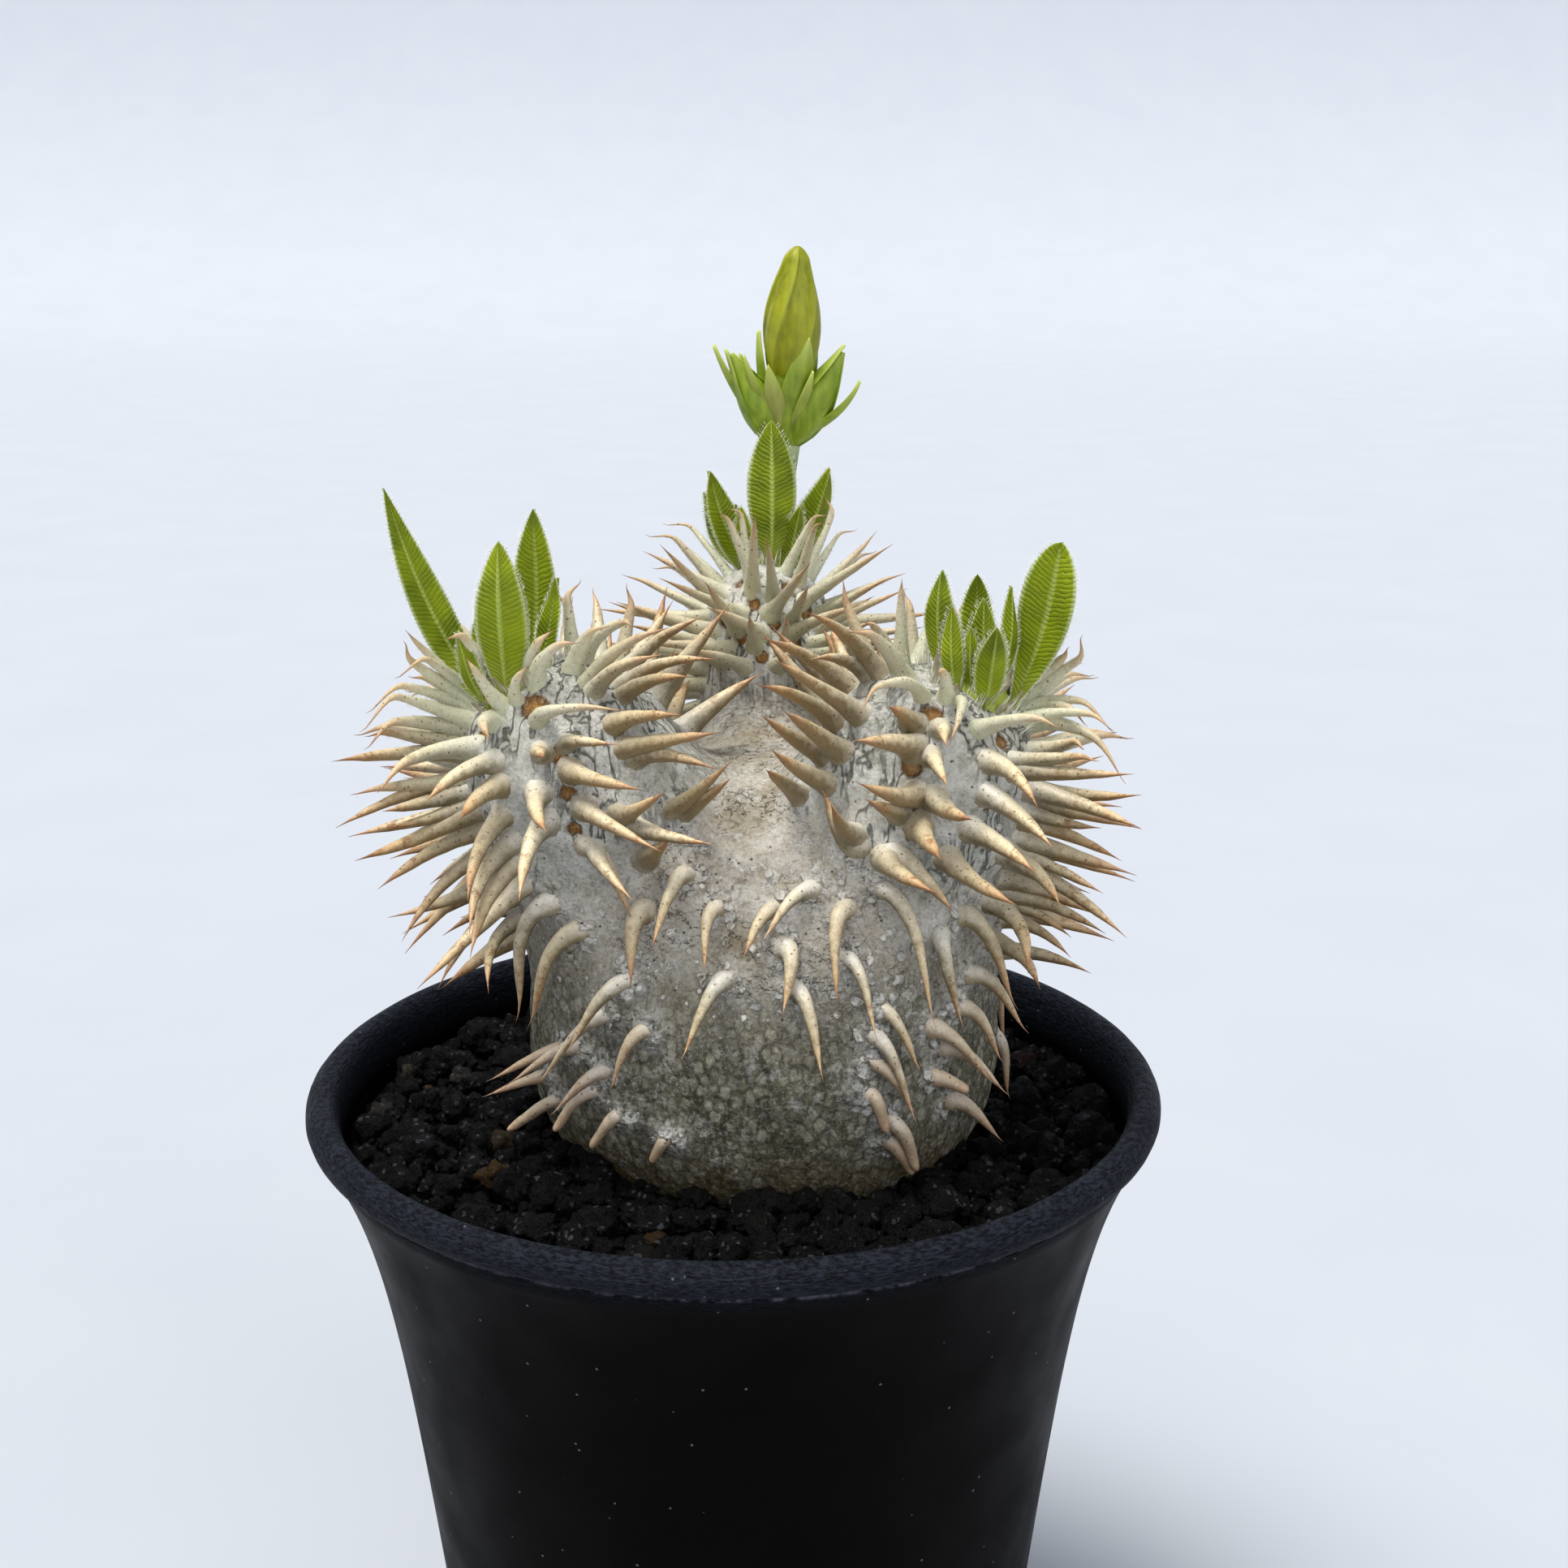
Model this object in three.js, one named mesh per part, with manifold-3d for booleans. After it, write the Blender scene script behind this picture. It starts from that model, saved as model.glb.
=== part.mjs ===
// A potted pachypodium: a squat swollen stem (the caudex) with three short spiny arms, a tuft of
// young leaves on each arm and one flower stalk, in a flared black plastic pot of dark granules.
// Millimetres, +Z up, origin at the middle of the pot's foot. The photo's viewer looks along +Y.

import * as THREE from "three";
import { mergeVertices } from "three/addons/utils/BufferGeometryUtils.js";
import Module from "manifold-3d";

const wasm = await Module();
wasm.setup();

const degrees = THREE.MathUtils.degToRad;
const vector = (x, y, z) => new THREE.Vector3(x, y, z);
const UP = vector(0, 0, 1);

// Clearance kept between two pieces that touch.
const GAP = 0.3;

// The pot. Heights are above the foot, and the rim's widest line is the level that the rest hangs
// from. The wall is a straight taper that flares out towards the rim.
const RIM_Z = 96;
const RIM_RADIUS = 52.5;
const NECK_RADIUS = 45.5;
const TAPER = 0.111;
const FLARE = 6.8;
const FLARE_DEPTH = 13;
const WALL = 1.4;
const FLOOR_Z = 3;
const FLOOR_THICK = 1.8;
const FOOT_RING = 2.8;
const POT_SIDES = 40;
const OUTSIDE_LEVELS = [0, 0.4, 0.68, 0.84, 0.94, 1];
const INSIDE_LEVELS = [0.58, 0.84];
const RIM_UNDER = 2.2;
// The rim's section from its lower lip over the crest to its inner edge: [inward, up].
const RIM_SECTION = [
  [0.9, -1.7],
  [0, -0.4],
  [0.2, 0.6],
  [1.1, 1.5],
  [2.2, 1.8],
  [3.2, 1.4],
  [3.9, 0],
];
const DRAIN_SIDES = 12;
const DRAIN_RADIUS = 3.5;
const DRAIN_RING = 20;
const DRAINS = 6;
const MIDDLE_DRAIN_RADIUS = 5;
const FOOT_NOTCHES = 4;
const NOTCH = vector(12, 6, 2.4);

// The soil, with its top raised in grains.
const SOIL_Z = RIM_Z - 5.5;
const SOIL_RINGS = 7;
const GRAIN_RELIEF = 1.1;
const SOIL_MOUND = 0.6;

// The caudex: a barrel whose outline is a little squarer than an ellipse.
const BODY = {
  middle: vector(3.8, 0, RIM_Z + 9.5),
  halfX: 28.6,
  halfY: 24.5,
  up: 27,
  down: 26,
  squareness: 2.5,
  scale: 25,
};
const HEART = vector(3.8, 0, RIM_Z + 24);
const BLEND = 9;
const SKIN_DETAIL = 12;
const SKIN_ROUNDS = 90;

// Each arm runs from its foot inside the barrel over an elbow to its crown, and thins on the way.
// Its pairs of spines have so much skin each, and start outside the leaf tuft's own patch of skin.
// The youngest lean up along the arm by its lift.
const above = (x, y, z) => vector(x, y, RIM_Z + z);
const ARMS = [
  {
    foot: above(-3, -2, 22),
    elbow: above(-16, -6.5, 38),
    crown: above(-24.4, -9, 53),
    radii: [14, 12.6, 11.2],
    pairs: 96,
    pairRoom: 23,
    tuftRoom: 125,
    lift: 0.9,
    turn: 0,
    listed: true,
  },
  {
    foot: above(11, -2, 22),
    elbow: above(20.2, -6.5, 38),
    crown: above(28.1, -9, 52.6),
    radii: [14, 12.6, 11.2],
    pairs: 96,
    pairRoom: 23,
    tuftRoom: 125,
    lift: 0.9,
    turn: 40,
    listed: true,
  },
  {
    foot: above(4, 4, 26),
    elbow: above(4, 16, 42),
    crown: above(4, 25, 60),
    radii: [10, 8, 7],
    pairs: 50,
    pairRoom: 18,
    tuftRoom: 48,
    lift: 0.4,
    turn: 80,
    listed: false,
  },
];
const GOLDEN_ANGLE = 137.508;
// These solids hold two pairs of arm spines out of every three.
const PAIR_CYCLE = 3;
const PAIRS_KEPT = 2;
// A pair is left out where the skin is farther from the arm's middle line than this, on its inner
// and on its outer side, and low down on the inner side.
const REACH_INSIDE = 14;
const REACH_OUTSIDE = 27;
const FORK_DEPTH = 8;

// Spines: three-sided horns with their roots sunk in the skin.
const SPINE_SIDES = 3;
// A horn's flat sides lie nearer its middle than its edges, so it is grown by this much more.
const FLAT_SIDE_ALLOWANCE = 1.8;
const SPINE_STATIONS = [0, 0.42, 1];
const SPINE_LENGTH = 13.5;
const SPINE_SPREAD = 3.5;
const SPINE_RADIUS = 1.75;
const SPINE_ROOT = 1.6;
const PAIR_HALF = 1.9;
// Spines this far down an arm droop fully, and from the second depth on they are shorter.
const FULL_DROOP = 12;
const SHORT_FROM = 16;
const SHORTER = 0.8;
// How far a barrel spine's tip stands off the skin, as a share of its length, and how much of a
// spine's bend its tip takes back.
const STAND_OFF = 0.4;
const LEAST_STAND_OFF = 0.12;
const HOOK_SHARE = 0.45;
// How far a claw leans the way that it ends up going, where it leaves the skin.
const CLAW_LEAN = 0.25;
const LOWEST_SPINE = RIM_Z + 19;

// The claws on the two front arms, on the side that the photo shows, read by eye. They are measured on
// an upright plane through the crowns, as they line up there for the photo's viewer: [foot's x, foot's
// height above the rim, tip's x, tip's height, length, radius].
const VIEWER = vector(6.1, -243.8, 202.2);
const READING_Y = -9;
const HEAD_SPINES = [
  [-30.5, 52.5, -37.5, 59.5, 15, 1.1],
  [-29.5, 52, -36.5, 57, 14, 1.1],
  [-29.5, 50.5, -38.5, 57, 15, 1.2],
  [-31, 50.5, -40.5, 53, 15, 1.2],
  [-31.5, 50, -36.5, 53, 9, 1.1],
  [-29, 48, -41, 52, 16, 1.3],
  [-31, 47.5, -41.5, 48, 15, 1.4],
  [-30.5, 45.5, -42, 47.5, 15, 1.4],
  [-30.5, 44.5, -46, 43.5, 18, 1.4],
  [-29, 45, -40.5, 41.5, 15, 1.4],
  [-31.5, 41.5, -46, 35.5, 17, 1.5],
  [-30.5, 40, -40.5, 37.5, 14, 1.4],
  [-26.5, 43.5, -35.5, 38.5, 14, 1.5],
  [-29, 38, -44, 31.5, 18, 1.5],
  [-32, 37.5, -40, 35.5, 13, 1.3],
  [-26, 41, -31.5, 36.5, 12, 1.5],
  [-30.5, 35, -41.5, 28, 15, 1.4],
  [-29.5, 28.5, -40.5, 24.5, 13, 1.3],
  [-29.5, 32.5, -39, 21.5, 16, 1.4],
  [-26, 37.5, -31, 26.5, 15, 1.4],
  [-25, 34, -31, 22.5, 15, 1.5],
  [-24.5, 32, -31, 19.5, 16, 1.5],
  [-24, 29, -37.5, 15.5, 19, 1.5],
  [-29, 26, -35, 15.5, 14, 1.3],
  [-25, 24.5, -29, 15, 14, 1.4],
  [-22, 40, -21.5, 35, 12, 1.6],
  [-21, 36.5, -25, 26.5, 14, 1.6],
  [-18.5, 42.5, -10, 40, 13, 1.6],
  [-17, 38, -8, 32.5, 15, 1.7],
  [-16, 33.5, -11.5, 26.5, 11, 1.4],
  [-26.5, 48, -28, 46.5, 9, 1.4],
  [-21.5, 44.5, -21.5, 44, 9, 1.4],
  [-19, 45.5, -13, 45.5, 10, 1.2],
  [-22, 48, -12, 50, 13, 1.2],
  [-14, 47.5, -5.5, 49, 12, 1.4],
  [-13, 45, -1, 47, 15, 1.6],
  [-11.5, 43.5, -1.5, 42.5, 13, 1.5],
  [-13, 50.5, -4.5, 53.5, 13, 1.4],
  [-13, 51.5, -1.5, 55.5, 15, 1.4],
  [-16, 51, -8, 56, 13, 1.3],
  [-16.5, 52, -7, 59.5, 14, 1.3],
  [-11.5, 55, -3, 60.5, 13, 1.3],
  [-17, 54.5, -9.5, 60.5, 12, 1.4],
  [-18, 53.5, -14.5, 60, 10, 1.4],
  [-22, 52, -17, 58.5, 11, 1.4],
  [-22.5, 52.5, -20.5, 59, 9, 1.4],
  [-25.5, 49.5, -30, 56, 10, 1.2],
  [-24, 50, -23, 55, 8, 1],
  [-25.5, 52, -31.5, 60, 12, 1.4],
  [-10, 32, -7, 34.5, 9, 1.6],
  [-13.5, 37, -7.5, 40, 10, 1.5],
  [-12, 36, -2, 33.5, 14, 1.5],
  [-7.5, 37.5, 0, 43.5, 12, 1.4],
  [-6, 37, 0, 41.5, 11, 1.3],
  [21, 45, 14, 46, 13, 1.7],
  [23, 44, 25, 40.5, 11, 1.6],
  [21.5, 40, 14.5, 41, 13, 1.7],
  [23.5, 39.5, 28, 36.5, 13, 1.9],
  [19.5, 37.5, 15.5, 39, 10, 1.6],
  [21.5, 36, 24.5, 31.5, 11, 1.7],
  [14.5, 34.5, 11.5, 38.5, 11, 1.7],
  [18, 32, 24, 27.5, 13, 1.6],
  [29, 40, 37.5, 33, 15, 1.6],
  [29, 43.5, 35.5, 38, 13, 1.5],
  [27.5, 35.5, 35.5, 30, 14, 1.6],
  [25, 32, 33.5, 26, 14, 1.6],
  [33.5, 40.5, 47.5, 35.5, 17, 1.5],
  [34, 40.5, 47.5, 39.5, 16, 1.4],
  [31.5, 42.5, 46.5, 42, 17, 1.4],
  [31.5, 43.5, 42.5, 44.5, 14, 1.3],
  [33.5, 44.5, 40.5, 46.5, 12, 1.3],
  [28, 47, 38, 48.5, 13, 1.3],
  [34, 48, 45, 43.5, 15, 1.3],
  [32.5, 48, 44, 48.5, 14, 1.1],
  [32.5, 49, 40.5, 49.5, 11, 1.1],
  [33.5, 50, 43, 50, 13, 1.1],
  [32.5, 50.5, 42, 57, 15, 1.3],
  [32, 51, 39.5, 57, 13, 1.4],
  [31, 52.5, 32.5, 58.5, 9, 1.4],
  [22, 50.5, 13.5, 51, 15, 1.1],
  [21, 47.5, 18, 50, 8, 1.5],
  [26, 50, 25.5, 46, 8, 1],
  [24, 47, 24.5, 45.5, 8, 1.4],
  [24.5, 50.5, 23.5, 55, 9, 1.2],
  [15.5, 48.5, 5, 55.5, 16, 1.7],
  [16.5, 52.5, 9, 55.5, 12, 1.3],
  [14.5, 51.5, 3.5, 58, 17, 1.6],
  [13.5, 44, 6, 49.5, 15, 1.7],
  [12, 40.5, 4.5, 45, 13, 1.6],
  [8.5, 39, 4, 42.5, 11, 1.5],
  [11.5, 43.5, 3.5, 49, 14, 1.5],
  [17.5, 53, 8.5, 61, 16, 1.4],
  [20, 52.5, 14, 59.5, 13, 1.4],
  [19.5, 53.5, 15, 60.5, 12, 1.2],
  [13, 47, 3, 52.5, 16, 1.6],
  [31, 33, 38.5, 26, 14, 1.5],
  [34, 31.5, 46.5, 22, 18, 1.4],
  [34, 32.5, 43.5, 27.5, 14, 1.4],
  [33, 27.5, 44, 22.5, 15, 1.4],
  [33, 36.5, 45.5, 31.5, 15, 1.4],
  [36.5, 33.5, 43, 30.5, 10, 1.2],
  [36.5, 36.5, 43, 35.5, 11, 1.3],
  [29.5, 27, 35, 17.5, 14, 1.6],
  [32, 26.5, 40, 22, 11, 1.3],
  [32, 24.5, 40, 19.5, 12, 1.3],
  [29.5, 22, 36.5, 15.5, 13, 1.5],
  [31, 20.5, 42.5, 17.5, 14, 1.3],
];
// Rule-made spines of those two arms stand only where the skin faces away from the viewer by more.
const SEEN_BY_VIEWER = -0.1;
// The part of a line of sight, from the viewer on, that is searched for skin.
const SIGHT_RANGE = [195, 300];
// The barrel's own sparse spines on the side that the photo shows, read by eye:
// [azimuth in degrees, 0 towards the viewer, height above the rim, length, swing to the right in
// degrees from straight down, radius].
const FRONT_SPINES = [
  [-46, 36.6, 9, 34, 1.6],
  [-58, 28.3, 14, -14, 1.6],
  [-50, 25.9, 13, -27, 1.5],
  [-34, 29, 8.5, -6, 1.6],
  [-25, 32.9, 11, -26, 1.4],
  [-14, 29.3, 8.5, -11, 1.3],
  [4, 29.2, 7.5, -28, 1.3],
  [16, 31.3, 8.5, -38, 1.3],
  [25, 29.3, 11, -9, 1.4],
  [23, 24, 9.5, 15, 1.2],
  [34, 31.4, 15.5, 20, 1.4],
  [50, 25.2, 10.5, 3, 1.4],
  [6, 25.3, 8, -2, 1.5],
  [8, 21.1, 10.5, 16, 1.4],
  [-11, 21.8, 9.5, -25, 1.4],
  [-37, 20.8, 10.5, -38, 1.5],
  [-31, 15.5, 8, -28, 1.2],
  [-44, 9.4, 8, -48, 1.2],
  [-48, 6.4, 6.5, -42, 1.2],
  [-40, 4.2, 5, -40, 1.1],
  [-26, 2.6, 3.5, -34, 1],
  [32, 17.7, 8, 27, 1.3],
  [29, 15, 10.5, 22, 1.4],
  [28, 12, 8, 39, 1.2],
  [27, 8.3, 5, 26, 1.2],
  [33, 4.4, 7, 30, 1.2],
  [34, 1.6, 5, 36, 1.1],
  [56, 15.7, 8.5, 35, 1.3],
  [47, 14.2, 9.5, 45, 1.4],
  [51, 11.3, 9, 51, 1.3],
  [48, 8, 4, 67, 1.2],
  [55, 4.1, 7.5, 48, 1.3],
  [61, 19, 9.5, 41, 1.4],
  [57, 26.8, 12.5, 27, 1.5],
  [-43, 16.3, 11, -43, 1.3],
  [-52, 11.4, 9, -61, 1.3],
  [-58, 10.2, 9.5, -66, 1.2],
  [-66, 5.4, 8, -72, 1.2],
  [-62, 3.1, 7, -58, 1.1],
  [30, 36.4, 7.5, -149, 2],
  [37, 35.3, 9, 52, 1.9],
];
// The barrel's back, which the photo doesn't show, has the same sparse kind, by a rule.
const BACK_SPINES = {
  count: 22,
  firstAzimuth: 98,
  span: 164,
  low: 4,
  high: 27,
  length: [6, 12],
  radius: 1.3,
  swing: 30,
};
// The parts of the front where only the listed spines stand: across the barrel, and higher up in
// the fork of the two front arms.
const FRONT_FIELDS = [
  { azimuth: 62, top: 36 },
  { azimuth: 25, top: 45 },
];

// Roots in the soil: [azimuth, slope down, both in degrees, length, radius].
const ROOTS = [
  [0, 88, 36, 7.5],
  [50, 46, 24, 4],
  [170, 42, 26, 4.2],
  [285, 50, 22, 3.8],
];
const ROOT_START = vector(3.8, 0, RIM_Z - 12);
const ROOT_SIDES = 6;

// Leaves of each tuft: [azimuth on the crown in degrees, 0 towards the viewer and 90 to the right,
// tilt of the foot from the crown's top, length, width, lean outwards, bluntness 0 to 1].
const TUFTS = [
  {
    name: "leaves_left",
    arm: 0,
    coreTilt: 27,
    leaves: [
      [265, 22, 26, 6.2, 24, 0.1],
      [350, 20, 17.5, 6.2, 5, 0.5],
      [140, 14, 17.5, 5.4, 6, 0.45],
      [238, 16, 9, 3.4, 12, 0.3],
      [306, 20, 9, 3, 24, 0.2],
      [92, 17, 10, 3, 12, 0.2],
      [196, 20, 9, 3.4, 14, 0.3],
    ],
  },
  {
    name: "leaves_right",
    arm: 1,
    coreTilt: 27,
    leaves: [
      [80, 22, 19.5, 7, 16, 1],
      [288, 22, 11.5, 4.2, 3, 0.35],
      [320, 22, 9, 2.8, 8, 0.3],
      [0, 9, 10, 3.8, 2, 0.4],
      [62, 10, 12, 2.6, 9, 0.3],
      [10, 22, 10, 3.8, 24, 0.4],
      [340, 16, 7, 2.6, 8, 0.3],
      [110, 18, 8, 2.8, 12, 0.3],
      [180, 20, 11, 4.2, 10, 0.5],
      [228, 20, 8, 3.2, 12, 0.4],
    ],
  },
  {
    name: "leaves_back",
    arm: 2,
    coreTilt: 29,
    leaves: [
      [8, 24, 17.5, 6.6, 2, 0.6],
      [284, 24, 13, 4.6, 20, 0.3],
      [262, 22, 11, 3.8, 30, 0.3],
      [72, 24, 13.5, 4.8, 22, 0.3],
      [322, 24, 7.5, 2.8, 18, 0.3],
      [42, 24, 8, 3, 22, 0.3],
      [180, 24, 12, 4.6, 16, 0.4],
      [226, 24, 9, 3.6, 18, 0.4],
      [128, 24, 9.5, 3.6, 18, 0.4],
    ],
  },
];
const CORE_HEIGHT = 1.6;
const CORE_SIDES = 9;
const BLADE_THICK = 0.7;
const LEAF_NET = [2, 5];
const BRACT_NET = [1, 3];
const LONG_LEAF = 12;
const BLADE_FOLD = 0.28;
const BLADE_SINK = 1.2;
// The side that the light comes from: blades turn their faces partly to it.
const LIGHT = vector(0, -1, 0);

// The flower stalk on the back arm: it rises to a node that carries a cup with the main bud, and a
// smaller bud on each side.
const STALK_RADIUS = 1.6;
const STALK_FOOT = above(4.6, 27, 57);
const STALK_NODE = above(6, 27, 74.8);
const BUD_TIP = above(7.8, 26.5, 100.4);
const CUP_LENGTH = 10.7;
const CUP_RADIUS = 2.9;
const CUP_FOOT_RADIUS = 1.5;
const BUD_SEAT = 8.1;
const BUD_RADIUS = 3.75;
const BUD_RIBS = 5;
const BUD_TWIST = 70;
const SIDE_BUDS = [
  { tip: above(-0.5, 25, 87.2), radius: 2.5 },
  { tip: above(13.5, 25, 87.4), radius: 2.6 },
];
const SIDE_BUD_START = 0.1;
const SIDE_BUD_SHAPE = [0.45, 0.85, 1, 0.95, 0.7, 0.4, 0.12];
const MAIN_BUD_SHAPE = [0.5, 0.72, 0.93, 1, 0.95, 0.78, 0.5, 0.12];
// Sepals and bracts round the node, read by eye on the side that the photo shows:
// [foot x, y, height above the rim, tip x, y, height, width].
const NODE_BLADES = [
  [7, 24.8, 79, 9.3, 23.6, 89.3, 4],
  [5.9, 25.6, 76, 4.1, 22.8, 86, 2.9],
  [4.8, 25.7, 77, 1, 23.4, 87.1, 2],
  [7.2, 25.3, 77, 9.8, 23, 85.2, 2.1],
  [3.9, 26.6, 80, 2.8, 26, 90, 3.2],
  [9, 27.2, 80, 10.2, 26.8, 90, 3.2],
  [3.6, 26.3, 77, -3, 25.4, 88.1, 2.6],
  [8.4, 26.3, 76.6, 16.4, 25, 82.8, 2.6],
  [6.8, 29.1, 79, 7.6, 29.9, 89.5, 4],
  [8, 28.2, 77.5, 12.5, 28.8, 86.5, 2.6],
  [4.6, 28.2, 77.5, 0.4, 28.4, 87, 2.6],
];

// Repeatable jitter: a number from 0 to 1 for each whole number.
function chance(n) {
  const wave = Math.sin(n * 12.9898 + 4.1414) * 43758.5453;
  return wave - Math.floor(wave);
}

// A direction from an azimuth, 0 towards the viewer and 90 to the right, and a tilt from straight up.
function heading(azimuth, tilt) {
  const a = degrees(azimuth);
  const t = degrees(tilt);
  return vector(Math.sin(a) * Math.sin(t), -Math.cos(a) * Math.sin(t), Math.cos(t));
}

// The same geometry with one vertex wherever its faces meet.
function welded(geometry) {
  const bare = geometry.clone();
  bare.deleteAttribute("normal");
  bare.deleteAttribute("uv");
  return mergeVertices(bare, 1e-5);
}

// A closed geometry as a solid that can be joined and cut.
function solidOf(geometry) {
  const closed = welded(geometry);
  return new wasm.Manifold(
    new wasm.Mesh({
      numProp: 3,
      vertProperties: closed.attributes.position.array,
      triVerts: new Uint32Array(closed.index.array),
    }),
  );
}

function joined(solids) {
  return solids.reduce((sum, solid) => sum.add(solid));
}

// The largest body of a solid as geometry: loose scraps and sealed hollows are dropped.
function geometryOf(solid) {
  const largest = solid.decompose().reduce((a, b) => (b.volume() > a.volume() ? b : a));
  const mesh = largest.getMesh();
  const geometry = new THREE.BufferGeometry();
  const points = new THREE.BufferAttribute(new Float32Array(mesh.vertProperties), 3);
  geometry.setAttribute("position", points);
  geometry.setIndex(new THREE.BufferAttribute(new Uint32Array(mesh.triVerts), 1));
  geometry.computeVertexNormals();
  return geometry;
}

// A welded geometry with every point moved by a rule.
function reshape(geometry, rule) {
  const shaped = welded(geometry);
  const points = shaped.attributes.position;
  const p = vector();
  for (let i = 0; i < points.count; i++) {
    p.fromBufferAttribute(points, i);
    rule(p);
    points.setXYZ(i, p.x, p.y, p.z);
  }
  return shaped;
}

// A profile of [radius, height] turned about Z.
function turned(profile, sides) {
  const outline = profile.map(([radius, height]) => new THREE.Vector2(radius, height));
  return new THREE.LatheGeometry(outline, sides).rotateX(Math.PI / 2);
}

// The pot

function wallRadius(z) {
  const depth = RIM_Z - z;
  return NECK_RADIUS - TAPER * depth + FLARE * Math.exp(-depth / FLARE_DEPTH);
}

// The inside of the wall from a height up to the soil's level, with a clearance from it.
function insideOutline(bottom, clearance) {
  const heights = [bottom, ...INSIDE_LEVELS.map((share) => share * RIM_Z), SOIL_Z];
  return heights.map((z) => [wallRadius(z) - WALL - clearance, z]);
}

function makePot() {
  const foot = wallRadius(0);
  const topOfWall = RIM_Z - RIM_UNDER;
  const insideFloor = FLOOR_Z + FLOOR_THICK;
  const outsideZ = OUTSIDE_LEVELS.map((share) => share * topOfWall);
  const outside = outsideZ.map((z) => [wallRadius(z), z]);
  const rim = RIM_SECTION.map(([inward, up]) => [RIM_RADIUS - inward, RIM_Z + up]);
  const inside = insideOutline(insideFloor, 0);
  const profile = [
    [0, FLOOR_Z],
    [foot - FOOT_RING, FLOOR_Z],
    [foot - FOOT_RING, 0],
    ...outside,
    ...rim,
    ...inside.reverse(),
    [0, insideFloor],
  ];
  let pot = solidOf(turned(profile, POT_SIDES));
  const hole = (radius, x, y) => {
    const drill = new THREE.CylinderGeometry(radius, radius, 4 * FLOOR_THICK, DRAIN_SIDES);
    return solidOf(drill.rotateX(Math.PI / 2).translate(x, y, FLOOR_Z));
  };
  pot = pot.subtract(hole(MIDDLE_DRAIN_RADIUS, 0, 0));
  for (let i = 0; i < DRAINS; i++) {
    const turn = (i / DRAINS) * 2 * Math.PI;
    const x = DRAIN_RING * Math.cos(turn);
    pot = pot.subtract(hole(DRAIN_RADIUS, x, DRAIN_RING * Math.sin(turn)));
  }
  for (let i = 0; i < FOOT_NOTCHES; i++) {
    const notch = new THREE.BoxGeometry(NOTCH.x, NOTCH.y, NOTCH.z).translate(foot, 0, 0);
    pot = pot.subtract(solidOf(notch.rotateZ(degrees(45 + (360 / FOOT_NOTCHES) * i))));
  }
  return pot;
}

// The caudex's form

// Distance from p to a tapering round bar, negative inside.
function barDistance(p, a, b, radiusA, radiusB) {
  const along = b.clone().sub(a);
  const t = THREE.MathUtils.clamp(p.clone().sub(a).dot(along) / along.lengthSq(), 0, 1);
  return p.distanceTo(a.clone().addScaledVector(along, t)) - (radiusA + (radiusB - radiusA) * t);
}

// The smaller of two distances, with a soft fillet where they meet.
function softLeast(a, b, width) {
  const near = Math.max(width - Math.abs(a - b), 0) / width;
  return Math.min(a, b) - (near * near * width) / 4;
}

for (const arm of ARMS) {
  arm.up = arm.crown.clone().sub(arm.elbow).normalize();
  arm.end = arm.crown.clone().addScaledVector(arm.up, -arm.radii[2]);
  arm.out = arm.crown.clone().sub(BODY.middle).setZ(0).normalize();
}

// About the distance from p to the plant's skin, negative inside.
function skinDistance(p) {
  const x = (p.x - BODY.middle.x) / BODY.halfX;
  const y = (p.y - BODY.middle.y) / BODY.halfY;
  const z = (p.z - BODY.middle.z) / (p.z > BODY.middle.z ? BODY.up : BODY.down);
  const power = BODY.squareness;
  const reach = (Math.hypot(x, y) ** power + Math.abs(z) ** power) ** (1 / power);
  let distance = (reach - 1) * BODY.scale;
  for (const arm of ARMS) {
    const [low, middle, high] = arm.radii;
    const lower = barDistance(p, arm.foot, arm.elbow, low, middle);
    const upper = barDistance(p, arm.elbow, arm.end, middle, high);
    distance = softLeast(distance, Math.min(lower, upper), BLEND);
  }
  return distance;
}

function skinNormal(p) {
  const step = 0.05;
  const slope = (axis) =>
    skinDistance(p.clone().addScaledVector(axis, step)) -
    skinDistance(p.clone().addScaledVector(axis, -step));
  return vector(slope(vector(1, 0, 0)), slope(vector(0, 1, 0)), slope(UP)).normalize();
}

// Moves p onto the surface that lies a given distance outside the skin.
function settle(p, offset, rounds) {
  for (let i = 0; i < rounds; i++) {
    p.addScaledVector(skinNormal(p), offset - skinDistance(p));
  }
}

// The distance from a point inside, along a direction, to the skin, or 0 where none is found.
function wayOut(from, direction) {
  const at = (d) => skinDistance(from.clone().addScaledVector(direction, d));
  const step = 0.5;
  const farthest = 60;
  let outside = step;
  while (outside < farthest && at(outside) <= 0) {
    outside += step;
  }
  if (outside >= farthest || at(0) > 0) {
    return 0;
  }
  let inside = outside - step;
  for (let i = 0; i < 20; i++) {
    const middle = (inside + outside) / 2;
    if (at(middle) > 0) {
      outside = middle;
    } else {
      inside = middle;
    }
  }
  return inside;
}

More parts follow.
